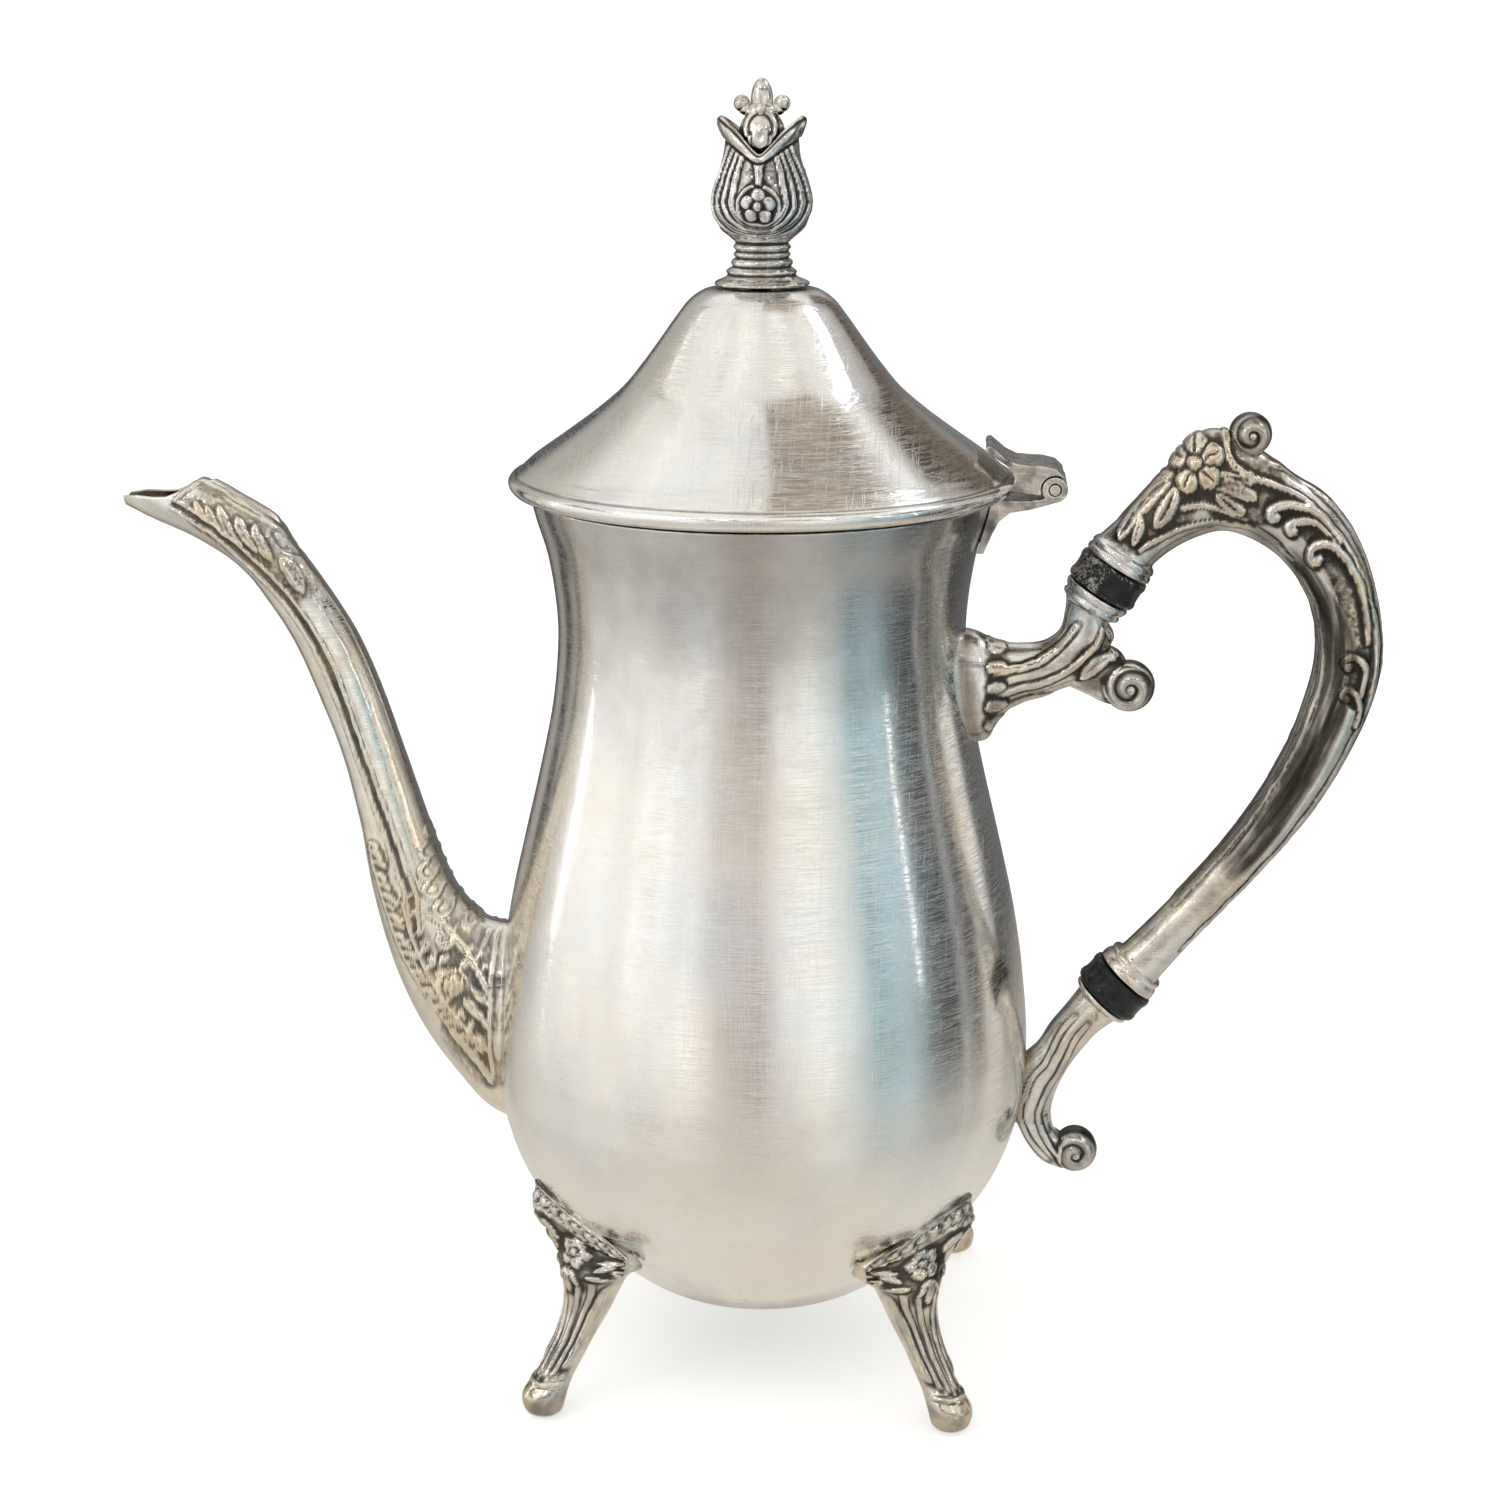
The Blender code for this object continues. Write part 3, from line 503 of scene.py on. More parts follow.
def silver(name, warm=0.3, rough=0.16, tone=(0.93, 0.92, 0.895), brushed=False, grime=1.0, worn=True, swirl=1.0, bump_depth=0.00002, mottle=0.0, neck=False):
    mat = bpy.data.materials.new(name)
    mat.use_nodes = True
    t = mat.node_tree
    sh = t.nodes["Principled BSDF"]
    sh.inputs["Metallic"].default_value = 1.0
    sh.inputs["IOR"].default_value = 1.5
    coord = t.nodes.new("ShaderNodeTexCoord").outputs["Object"]
    if worn:
        att = t.nodes.new("ShaderNodeAttribute")
        att.attribute_name = "wear_and_shade"
        wear_and_shade = att.outputs["Fac"]
    else:
        wear_and_shade = None
    big = noise(t, coord, 26, 4.0, 0.6, 0.4)
    mid = noise(t, coord, 120, 4.0, 0.6, 0.2)
    fine = noise(t, coord, 900, 3.0, 0.6)
    warm_mask = math_node(t, "MULTIPLY", ramp(t, big, [(0.38, 0.0), (0.66, 1.0)]), warm)
    if worn:
        att2 = t.nodes.new("ShaderNodeAttribute")
        att2.attribute_name = "tint"
        spread = math_node(t, "MULTIPLY", math_node(t, "MULTIPLY", att2.outputs["Fac"], ramp(t, mid, [(0.30, 0.35), (0.62, 1.0)])), 0.75)
        warm_mask = math_node(t, "MAXIMUM", warm_mask, spread)
    base = mix_color(t, warm_mask, tone, (0.80, 0.60, 0.35))
    cloud = noise(t, mapped(t, coord, location=(0.31, 0.17, 0.05)), 210, 4.0, 0.65, 0.5)
    base = mix_color(t, math_node(t, "MULTIPLY", ramp(t, cloud, [(0.40, 0.0), (0.66, 1.0)]), mottle), base, (0.24, 0.235, 0.225))
    cool = noise(t, mapped(t, coord, location=(0.11, 0.57, 0.25)), 34, 3.0, 0.55, 0.3)
    base = mix_color(t, math_node(t, "MULTIPLY", ramp(t, cool, [(0.50, 0.0), (0.68, 1.0)]), 0.22), base, (0.66, 0.76, 0.92))
    spots = math_node(t, "MULTIPLY", ramp(t, mid, [(0.55, 0.0), (0.72, 1.0)]), 0.30 * grime)
    base = mix_color(t, spots, base, (0.60, 0.52, 0.42))
    freckle = math_node(t, "MULTIPLY", ramp(t, fine, [(0.66, 0.0), (0.74, 1.0)]), 0.45 * grime)
    base = mix_color(t, freckle, base, (0.35, 0.30, 0.25))
    rough_v = math_node(t, "ADD", math_node(t, "MULTIPLY", mid, 0.12), rough - 0.06)
    if neck:
        # painted shade of the lid: an uneven dark band under the lid, fading down the neck; the pot is also darker
        # round its foot
        sepz = t.nodes.new("ShaderNodeSeparateXYZ")
        t.links.new(coord, sepz.inputs[0])
        drift = math_node(t, "ADD", math_node(t, "MULTIPLY", sepz.outputs[2], 1000.0), math_node(t, "MULTIPLY", math_node(t, "SUBTRACT", big, 0.5), 70.0))
        lid_shade_and_foot_dark = ramp(t, math_node(t, "MULTIPLY", drift, 1 / 200.0), [(0.0, 0.75), (0.085, 0.45), (0.15, 0.0), (0.70, 0.0), (0.82, 0.40), (0.90, 0.62), (1.0, 0.72)])
        lid_shade_and_foot_dark = math_node(t, "MULTIPLY", lid_shade_and_foot_dark, math_node(t, "ADD", math_node(t, "MULTIPLY", mid, 0.7), 0.55), clamp=True)
        base = mix_color(t, lid_shade_and_foot_dark, base, (0.34, 0.33, 0.33))
    if worn:
        # where the attribute is low the colour goes dark: tarnish and rubbing, and painted shade in hollows, on
        # undersides and on cast edges
        mottled = math_node(t, "ADD", wear_and_shade, math_node(t, "MULTIPLY", math_node(t, "SUBTRACT", mid, 0.5), 0.5))
        base = mix_color(t, ramp(t, mottled, [(0.0, 1.0), (0.36, 0.92), (0.66, 0.50), (0.90, 0.0)]), base, (0.036, 0.031, 0.025))
        rough_v = math_node(t, "ADD", rough_v, math_node(t, "MULTIPLY", math_node(t, "SUBTRACT", 1.0, wear_and_shade), 0.22))
    bump_in = None
    around = wrapped_coords(t, coord) if brushed else coord
    if brushed:
        lines = noise(t, mapped(t, around, scale=(16, 260, 2600)), 1.0, 4.0, 0.6)
        rough_v = math_node(t, "ADD", rough_v, math_node(t, "MULTIPLY", math_node(t, "SUBTRACT", lines, 0.5), 0.07))
        bump_in = math_node(t, "MULTIPLY", lines, 0.07)
    marks = None
    for k, (sc, st, rot, th) in enumerate([
        (60, (1.0, 1.0, 26.0), (0.25, 0.35, 0.2), 0.50),
        (60, (1.0, 1.0, 26.0), (-0.9, 0.5, 1.1), 0.53),
        (90, (1.0, 1.0, 30.0), (1.2, -0.6, 0.4), 0.56),
        (45, (22.0, 1.0, 1.0), (0.1, 0.9, 0.3), 0.55),
    ]):
        m = scratches(t, coord, sc, st, rot, th)
        marks = m if marks is None else math_node(t, "MAXIMUM", marks, m)
    marks = math_node(t, "MULTIPLY", marks, swirl)
    rough_v = math_node(t, "ADD", rough_v, math_node(t, "MULTIPLY", marks, 0.16))
    total = math_node(t, "MULTIPLY", marks, -0.5)
    if bump_in is not None:
        total = math_node(t, "ADD", total, bump_in)
    grain = math_node(t, "MULTIPLY", fine, 0.25)
    if worn:
        grain = math_node(t, "MULTIPLY", fine, math_node(t, "ADD", math_node(t, "MULTIPLY", math_node(t, "SUBTRACT", 1.0, wear_and_shade), 3.0), 0.15))
    total = math_node(t, "ADD", total, grain)
    total = math_node(t, "ADD", total, math_node(t, "MULTIPLY", mid, 1.1))
    bump = t.nodes.new("ShaderNodeBump")
    bump.inputs["Strength"].default_value = 1.0
    bump.inputs["Distance"].default_value = bump_depth
    t.links.new(total, bump.inputs["Height"])
    t.links.new(bump.outputs[0], sh.inputs["Normal"])
    t.links.new(base, sh.inputs["Base Color"])
    t.links.new(math_node(t, "MAXIMUM", rough_v, 0.05), sh.inputs["Roughness"])
    return mat


def black_insulator(name, silver_wear=0.0):
    mat = bpy.data.materials.new(name)
    mat.use_nodes = True
    t = mat.node_tree
    sh = t.nodes["Principled BSDF"]
    coord = t.nodes.new("ShaderNodeTexCoord").outputs["Object"]
    sh.inputs["IOR"].default_value = 1.36
    f = noise(t, coord, 420, 4.0, 0.65)
    g = noise(t, coord, 90, 2.0, 0.5)
    att = t.nodes.new("ShaderNodeAttribute")
    att.attribute_name = "wear_and_shade"
    rubbed = math_node(t, "SUBTRACT", 1.0, att.outputs["Fac"])
    fleck = noise(t, coord, 1500, 5.0, 0.7)
    raised = math_node(t, "ADD", math_node(t, "MULTIPLY", fleck, 0.55), math_node(t, "MULTIPLY", f, 0.45))
    speck = ramp(t, math_node(t, "ADD", raised, math_node(t, "MULTIPLY", rubbed, 0.17)), [(0.0, 0.0), (0.66, 0.0), (0.74, 1.0), (1.0, 1.0)])
    speck = math_node(t, "MULTIPLY", speck, silver_wear)
    base = mix_color(t, speck, (0.012, 0.012, 0.013), (0.45, 0.43, 0.40))
    t.links.new(base, sh.inputs["Base Color"])
    t.links.new(math_node(t, "MULTIPLY", speck, 0.8), sh.inputs["Metallic"])
    scr = scratches(t, coord, 120, (1, 1, 22), (0.4, 1.0, 0.2), 0.52)
    t.links.new(math_node(t, "ADD", math_node(t, "MULTIPLY", g, 0.12), math_node(t, "ADD", math_node(t, "MULTIPLY", speck, 0.25), math_node(t, "ADD", math_node(t, "MULTIPLY", scr, 0.12), 0.08))), sh.inputs["Roughness"])
    bump = t.nodes.new("ShaderNodeBump")
    bump.inputs["Strength"].default_value = 1.0
    bump.inputs["Distance"].default_value = 0.00005
    t.links.new(math_node(t, "ADD", math_node(t, "MULTIPLY", f, 0.6), math_node(t, "ADD", speck, math_node(t, "MULTIPLY", scr, -0.4))), bump.inputs["Height"])
    t.links.new(bump.outputs[0], sh.inputs["Normal"])
    return mat


def solder(name):
    mat = silver(name, warm=0.9, rough=0.34, tone=(0.78, 0.74, 0.66), grime=1.6, worn=False)
    return mat


M_BODY = silver("silver_body", warm=0.20, rough=0.135, brushed=True, grime=0.30, bump_depth=0.000010, neck=True, swirl=1.0)
M_LID = silver("silver_lid", warm=0.18, rough=0.075, brushed=True, grime=0.30, bump_depth=0.000010, swirl=1.5)
M_CAST = silver("silver_cast", warm=0.52, rough=0.075, grime=0.9, swirl=0.7, mottle=0.40, tone=(0.90, 0.89, 0.86))
M_SPOUT = silver("silver_spout", warm=0.50, rough=0.075, grime=0.6, swirl=0.7, mottle=0.22, tone=(0.93, 0.915, 0.86))
M_FINIAL = silver("silver_finial", warm=0.70, rough=0.065, grime=0.8, swirl=0.5, mottle=0.55, tone=(0.92, 0.91, 0.89))
M_FOOT = silver("silver_foot", warm=0.58, rough=0.075, grime=1.0, swirl=0.6, mottle=0.60, tone=(0.80, 0.79, 0.76))
M_HINGE = silver("silver_hinge", warm=0.35, rough=0.13, grime=1.1, tone=(0.84, 0.825, 0.80), mottle=0.50)
M_SOLDER = solder("silver_solder")
M_DULL = silver("silver_inside", warm=0.5, rough=0.30, grime=1.2, tone=(0.80, 0.77, 0.72))
M_INS_UP = black_insulator("insulator_worn", 0.9)
M_INS_LOW = black_insulator("insulator_clean", 0.10)

# ================================================================ body
def soft(V, size, amount):
    return V * (1 + amount * fbm(V, size, 2)[..., None] / 50.0)


def spun(name, body, material, outer, inner, sides, nodes, slot, groove=None, wobble=0.05, darkening_at=None):
    loop = np.vstack([outer, inner[::-1]])
    V = turned(loop, sides)
    flat = V.copy()
    r = np.hypot(V[..., 0], V[..., 1])
    h = wobble * fbm(V, 9.0, 2) * smooth(r, 1.0, 8.0)
    d = np.zeros_like(V)
    d[..., 0] = V[..., 0] / np.maximum(r, 1e-6)
    d[..., 1] = V[..., 1] / np.maximum(r, 1e-6)
    V = V + d * h[..., None]
    V[..., 0] = np.clip(V[..., 0], -56.9, 56.9)
    V[..., 1] = np.clip(V[..., 1], -56.88, 56.88)
    cav = np.ones(V.shape[:2])
    if darkening_at is not None:
        cav = darkening_at(flat)
    p = Piece()
    closed = outer[0][0] > 1e-6 or inner[0][0] > 1e-6
    p.grid(V, wrap=True, cav=cav, loop=closed)
    return p.build(name, body, material, nodes, slot)


outer = body_outer
inner = offset(body_outer, -1.2)
inner[0] = (0.0, 14.9)
inner[-1] = (46.2, 187.8)
outer_rim = np.vstack([outer[:-1], [(47.2, 187.5), (47.0, 187.75)]])
inner_rim = np.vstack([inner[:-1], [(46.2, 187.5), (46.4, 187.75)]])


# darker on the inside of the pot and towards its bottom
def body_darkening(V):
    z = V[..., 2]
    r = np.hypot(V[..., 0], V[..., 1])
    skin = smooth(r - body_radius(z), -0.9, -0.2)
    low = 1 - 0.35 * (1 - smooth(z, 16, 26))
    return np.clip(low * (0.55 + 0.45 * skin), 0, 1)


spun("body_spun", "pot", M_BODY, outer_rim, inner_rim, 224, ["body_shell"], "body_shell", wobble=0.045, darkening_at=body_darkening)

# mouth ring
ring = [(45.2, 187.75), (44.75, 187.2), (44.72, 185.1), (44.9, 184.65), (45.1, 184.65), (45.4, 186.0), (45.8, 187.6)]
ring_v = turned(catmull(ring + [ring[0]], 3)[:-1], 144)
Piece().grid(ring_v, loop=True, cav=np.full(ring_v.shape[:2], 0.75)).build("mouth_ring_turned", "pot", M_DULL, ["mouth_ring"], "mouth_ring")

# ================================================================ lid
lid_curve = np.vstack([
    [(48.6, 188.22)],
    catmull([(49.6, 188.25), (50.8, 188.7), (51.6, 189.7), (51.7, 190.7), (51.2, 191.5), (50.5, 191.85)], 4),
    catmull([(50.15, 191.9), (49.7, 192.45), (48.4, 193.6), (46.5, 195.2), (40.4, 199.5), (34.2, 204.0), (28.4, 208.9), (24.2, 213.9), (20.5, 218.9), (17.2, 223.5), (14.6, 226.7), (11.8, 228.6), (9.5, 229.15)], 7),
    [(6.0, 229.15), (3.3, 229.15)],
])
lid_inside = catmull([
    (3.3, 228.1), (9.2, 228.1), (13.6, 225.6), (19.4, 218.2), (23.2, 212.8), (27.4, 208.2), (33.4, 203.0), (39.6, 198.5), (44.0, 195.4), (46.5, 192.6), (46.9, 189.0), (47.2, 188.3),
], 4)


# darker in a thin line in the fold between flare and roll, on the underside of the lid and round the finial's foot
def lid_darkening(V):
    z = V[..., 2]
    r = np.hypot(V[..., 0], V[..., 1])
    line = np.exp(-((r - 50.2) / 0.3) ** 2) * (z > 191)
    top = np.interp(r, lid_curve[::-1][:, 0][2:], lid_curve[::-1][:, 1][2:])
    skin = smooth(z - top, -0.9, -0.3)
    near_finial = np.exp(-((r - 9.8) / 1.6) ** 2) * 0.4
    return np.clip((0.5 + 0.5 * skin) - 0.45 * line - near_finial, 0, 1)


spun("lid_spun", "lid", M_LID, lid_curve, lid_inside[::-1], 224, ["lid_dome"], "lid_dome", wobble=0.045, darkening_at=lid_darkening)

bez = [(42.65, 183.65), (43.4, 183.65), (43.75, 184.6), (43.78, 188.3), (46.3, 189.25), (46.3, 190.7), (42.7, 190.7)]
bez_v = turned(resample(bez + [bez[0]], 0.6)[:-1], 160)
Piece().grid(bez_v, loop=True, cav=np.full(bez_v.shape[:2], 0.7)).build("lid_bezel_turned", "lid", M_DULL, ["lid_bezel"], "lid_bezel")

# ================================================================ spout
SPOUT = [
    (-46.0, 92.5, -46.0, 47.5, 15.5),
    (-57.5, 93.6, -57.5, 50.5, 15.0),
    (-62.0, 96.2, -66.0, 59.3, 13.8),
    (-66.6, 102.4, -73.8, 70.6, 12.0),
    (-70.6, 113.0, -79.6, 84.0, 10.3),
    (-74.0, 124.0, -83.6, 99.5, 8.8),
    (-77.5, 135.3, -85.8, 114.2, 7.8),
    (-81.0, 146.0, -88.9, 128.8, 7.2),
    (-85.4, 156.6, -93.3, 141.8, 6.8),
    (-91.2, 166.2, -98.6, 154.8, 6.6),
    (-97.2, 174.8, -104.6, 164.6, 6.6),
    (-101.2, 180.4, -108.4, 169.4, 6.6),
    (-108.2, 184.8, -113.0, 173.2, 6.5),
    (-116.3, 189.0, -119.5, 177.0, 6.1),
    (-126.2, 190.5, -127.4, 180.4, 4.9),
    (-132.9, 191.0, -132.9, 183.0, 3.2),
]
fine = resample(catmull(SPOUT, 12), 0.42)
edge_top = fine[:, 0:2]
edge_low = fine[:, 2:4]


def across(fr, a, b):
    """The line at fraction fr from the upper to the lower edge, between stations a and b (0..1)."""
    n = len(fine)
    i = np.arange(int(a * n), int(b * n))
    return list(map(tuple, (edge_top[i] * (1 - fr) + edge_low[i] * fr)[:: max(1, len(i) // 14)]))


SP = Relief()
groove_line = [(-121.5, 184.2), (-119.9, 183.3), (-115, 180.4), (-110.3, 176.6), (-106.3, 172.8), (-101.3, 168.0), (-97.4, 163.4), (-92.4, 155), (-88, 144.5),
               (-84.5, 133.5), (-81.4, 124), (-78.6, 115.9), (-76.0, 108), (-73.8, 101.7), (-73.0, 92.8)]
gl = np.array(groove_line)
tang = np.gradient(gl, axis=0)
tang /= np.linalg.norm(tang, axis=1, keepdims=True)
side = np.stack([-tang[:, 1], tang[:, 0]], 1)
SP.ground(groove_line, 0.62, 0.30)
SP.ridge([tuple(p) for p in gl + side * 1.1], 0.42, 0.5, h=0.42, power=0.8, taper=0.03)
SP.ridge([tuple(p) for p in gl - side * 1.1], 0.42, 0.5, h=0.42, power=0.8, taper=0.03)
SP.ridge([(-121.5, 184.9), (-118.0, 187.6), (-115.2, 189.4)], 0.6, 0.5, h=0.4, taper=0.1)
SP.ridge([(-112.5, 187.2), (-109.0, 184.6), (-105.0, 182.2), (-101.0, 179.9), (-98.2, 177.2)], 0.7, 0.8, h=0.45, taper=0.1)
for a, b, w in [((-114.6, 184.2), (-110.0, 177.6), 1.1), ((-112.2, 184.2), (-107.2, 175.6), 1.25), ((-108.6, 182.0), (-103.9, 174.6), 1.3), ((-105.0, 180.4), (-100.9, 172.6), 1.2), ((-117.0, 185.4), (-113.0, 180.2), 1.0)]:
    SP.leaf(a, b, w, 0.62, crease=0.25, bend=-0.5)
SP.groove([(-101.6, 179.0), (-99.6, 175.6), (-95.4, 173.2)], 0.5, h=0.45)
SP.leaf((-99.6, 173.6), (-95.0, 165.8), 1.5, 0.5, crease=0.2, bend=0.4)
# foot of the spout: leaf edge, acanthus curls, stem, flower and gadroons
front = catmull([(-82.6, 112.6), (-80.6, 104.0), (-78.0, 95.4), (-74.6, 87.4), (-70.0, 80.2), (-64.6, 73.8), (-59.2, 68.6)], 4)
for k in range(len(front) - 1):
    a, b = front[k], front[k + 1]
    d = (b - a) / np.hypot(*(b - a))
    inward = np.array([-d[1], d[0]]) if (-d[1] * 1 + d[0] * 1) > 0 else np.array([d[1], -d[0]])
    start = a - inward * 0.6
    tip = a + d * (1.9 + 0.5 * (k % 2)) + inward * (1.5 + 0.5 * (k % 3))
    SP.leaf(tuple(start), tuple(tip), 0.95, 0.5 + 0.12 * (k % 2), crease=0.3, bend=0.45)
SP.ridge([tuple(q) for q in front + np.array([-0.5, -0.5])], 0.5, 0.55, h=0.5, power=0.8, taper=0.02)
second = catmull([(-75.6, 101.0), (-73.4, 92.6), (-70.4, 85.8), (-66.0, 79.0), (-61.0, 73.2), (-57.0, 70.6)], 4)
SP.ridge([tuple(q) for q in second], 0.6, 0.7, h=0.6, power=0.7, taper=0.04)
for k in range(0, len(second) - 3, 2):
    a, b = second[k], second[k + 1]
    d = (b - a) / np.hypot(*(b - a))
    n_ = np.array([-d[1], d[0]])
    n_ = n_ if n_[0] > 0 else -n_
    SP.leaf(tuple(a + n_ * 0.4), tuple(a + n_ * 2.6 - d * 0.9), 0.75, 0.5, crease=0.25, bend=0.4)
    SP.leaf(tuple(a - n_ * 0.4), tuple(a - n_ * 1.9 + d * 1.2), 0.6, 0.42, crease=0.2, bend=-0.3)
# curls along the body side, each a hook with a bead at its end
for cx, cz, r0, turn in [(-69.8, 114.6, 1.5, 100), (-70.6, 110.6, 1.55, 120), (-70.4, 106.6, 1.6, 110), (-69.6, 102.6, 1.6, 125), (-67.2, 98.8, 1.6, 140), (-64.2, 102.8, 1.4, 90),
                         (-66.6, 92.2, 1.5, 150), (-61.8, 95.4, 1.3, 110), (-60.6, 89.8, 1.3, 140)]:
    hook = [(cx + r0 * math.cos(math.radians(turn + a)), cz + r0 * math.sin(math.radians(turn + a))) for a in range(0, 250, 30)]
    hook.append((cx + 2.6 * r0 * math.cos(math.radians(turn + 262)), cz + 2.6 * r0 * math.sin(math.radians(turn + 262))))
    SP.ridge(hook, 0.62, 0.42, h=0.62, power=0.75, taper=0.06)
    SP.bead((cx + r0 * math.cos(math.radians(turn)), cz + r0 * math.sin(math.radians(turn))), 0.75, 0.72)
SP.ground([(-60, 103), (-60.5, 92), (-59.5, 84)], 6.0, 0.08)
SP.ridge([(-70.2, 98.4), (-66.4, 94.8), (-62.8, 90.6), (-59.0, 85.4), (-56.0, 79.8)], 0.8, 0.6, h=0.6, power=0.8, taper=0.1, split=True)
SP.flower((-64.4, 83.4), 6, 1.25, 1.15, 0.85, 0.65)
SP.ridge([(-64.4 + 3.0 * math.cos(a), 83.4 + 3.0 * math.sin(a)) for a in np.linspace(0.4, 4.4, 9)], 0.4, h=0.45, taper=0.05)
for a, b, w in [((-62.6, 80.4), (-58.4, 76.4), 1.1), ((-61.0, 82.6), (-56.6, 79.0), 0.95), ((-60.2, 78.0), (-56.4, 74.0), 0.95), ((-67.8, 87.6), (-65.4, 89.6), 0.8), ((-63.2, 86.8), (-60.6, 88.4), 0.8), ((-68.4, 82.2), (-66.2, 80.0), 0.7)]:
    SP.leaf(a, b, w, 0.5, crease=0.3, bend=0.2)
for c_, r_ in [((-69.2, 88.6), 0.8), ((-67.2, 79.6), 0.7), ((-62.2, 76.6), 0.65), ((-58.4, 92.6), 0.6), ((-57.6, 98.0), 0.55), ((-62.6, 99.4), 0.6), ((-58.0, 87.0), 0.7)]:
    SP.bead(c_, r_, 0.5)
for a, b in [((-64.4, 72.2), (-60.0, 66.4)), ((-62.2, 70.0), (-58.2, 63.8)), ((-60.2, 67.4), (-56.8, 60.8)), ((-66.4, 74.4), (-62.2, 69.0))]:
    SP.leaf(a, b, 1.0, 0.55, crease=0.0, bend=0.3)
SP.ridge([(-55.4, 101.0), (-56.4, 92.0), (-56.6, 82.0), (-56.8, 72.0), (-56.6, 62.0)], 0.6, h=0.4, taper=0.05)


def mouth_angle(x_mid, x_top, z_top, x_low, z_low):
    """Angle from the upper edge at which the spout is cut open, as a function of the station."""
    cut = np.interp(x_top, [-134, -133.2, -129.5, -125.5, -122.5, -120.5, -118.6, -117.2, -115.6, -114.8], [185.0, 185.1, 185.5, 185.3, 185.4, 186.2, 187.4, 188.7, 190.2, 205.0])
    c = np.clip((2 * cut - z_top - z_low) / np.maximum(z_top - z_low, 1e-6), -1, 1)
    return np.arccos(c)


def make_spout():
    n_out, n_in, n_lip = 132, 48, 5
    st = fine
    ang = mouth_angle(None, st[:, 0], st[:, 1], st[:, 2], st[:, 3])
    ang = np.where(st[:, 0] > -114.5, 0.0, ang)
    s = np.linspace(0, 1, n_out)

    def ring(st, ang, u, power=2.1):
        t = ang[:, None] + (2 * math.pi - 2 * ang[:, None]) * u[None]
        c, sn = np.cos(t), np.sin(t)
        cx, cz = (st[:, 0] + st[:, 2]) / 2, (st[:, 1] + st[:, 3]) / 2
        ux, uz = (st[:, 0] - st[:, 2]) / 2, (st[:, 1] - st[:, 3]) / 2
        return np.stack([cx[:, None] + ux[:, None] * c, st[:, 4][:, None] * sn, cz[:, None] + uz[:, None] * c], 2)

    O = ring(st, ang, s)
    O = O.copy()
    D, cav, tint = displaced(O, SP, wrap=False, side_power=0.75, grain=0.10)
    cav = 1 - (1 - cav) * 0.60
    keep = np.minimum(1, (np.minimum(s, 1 - s) / 0.02))[None, :, None] ** 1.0
    D = O + (D - O) * np.where(ang[:, None, None] > 0, 1, keep)
    # the raised flat-topped ridge along the top of the hood
    top = smooth(-O[..., 0], 99.5, 101.5) * (1 - smooth(-O[..., 0], 113.6, 115.4))
    band = np.abs(O[..., 1])
    crest = (1 - smooth(band, 0.7, 1.1)) * np.where((s < 0.2) | (s > 0.8), 1, 0)[None]
    D[..., 2] += 0.75 * crest * top
    wall = 1.5 - 0.8 * smooth(-st[:, 0], 112, 122)
    n = np.hypot(st[:, 0] - st[:, 2], st[:, 1] - st[:, 3])
    ux, uz = (st[:, 0] - st[:, 2]) / n * wall, (st[:, 1] - st[:, 3]) / n * wall
    si = np.stack([st[:, 0] - ux, st[:, 1] - uz, st[:, 2] + ux, st[:, 3] + uz, st[:, 4] - wall], 1)
    angi = mouth_angle(None, st[:, 0], si[:, 1], si[:, 2], si[:, 3])
    angi = np.where(st[:, 0] > -114.5, 0.0, angi)
    I = ring(si, angi, np.linspace(0, 1, n_in)[::-1])
    D[-1, :, 0] = np.maximum(D[-1, :, 0], -133.0)
    lip_a = np.stack([D[:, -1] * (1 - k) + I[:, 0] * k + np.array([0, 0, 0.35 * math.sin(math.pi * k)]) * (ang[:, None] > 0) for k in np.linspace(0, 1, n_lip + 2)[1:-1]], 1)
    lip_b = np.stack([I[:, -1] * (1 - k) + D[:, 0] * k + np.array([0, 0, 0.35 * math.sin(math.pi * k)]) * (ang[:, None] > 0) for k in np.linspace(0, 1, n_lip + 2)[1:-1]], 1)
    V = np.concatenate([D, lip_a, I, lip_b], 1)
    V = fit_to_body(V)
    W = np.concatenate([cav, np.full((len(st), n_lip), 0.85), np.full((len(st), n_in), 0.30), np.full((len(st), n_lip), 0.85)], 1)
    # the tip closes as a rounded nose
    last = V[-1]
    c = last.mean(0)
    nose = []
    for k in (0.75, 0.4, 0.0):
        nose.append(c + (last - c) * k + np.array([-0.5 * (1 - k), 0, 0]))
    V = np.vstack([V, np.array(nose)])
    V[..., 0] = np.maximum(V[..., 0], -133.05)
    W = np.vstack([W, np.full((3, W.shape[1]), 0.8)])
    T = np.concatenate([tint, np.full((len(st), W.shape[1] - tint.shape[1]), 0.6)], 1)
    T = np.vstack([T, np.full((3, W.shape[1]), 0.3)])
    # brown film gathers where the spout meets the body
    T = np.maximum(T, smooth(V[..., 0], -68, -58) * 0.7)
    p = Piece()
    p.grid(V, wrap=True, cav=W, tint=T)
    return p.build("spout_cast", "pot", M_SPOUT, ["spout"], "spout")


make_spout()

# ================================================================ insulators, collars and directions
UPPER_INS, UPPER_DIR = (71.0, 170.6), (0.52, 0.854)
LOWER_INS, LOWER_DIR = (75.3, 82.3), (0.667, 0.745)
FACE = 3.4


def along(centre, direction, t):
    n = math.hypot(*direction)
    return centre[0] + direction[0] / n * t, centre[1] + direction[1] / n * t


def collar(centre, direction, t, radius):
    n = math.hypot(*direction)
    px, pz = direction[1] / n * radius, -direction[0] / n * radius
    cx, cz = along(centre, direction, t)
    return (cx - px, cz - pz, cx + px, cz + pz, radius)


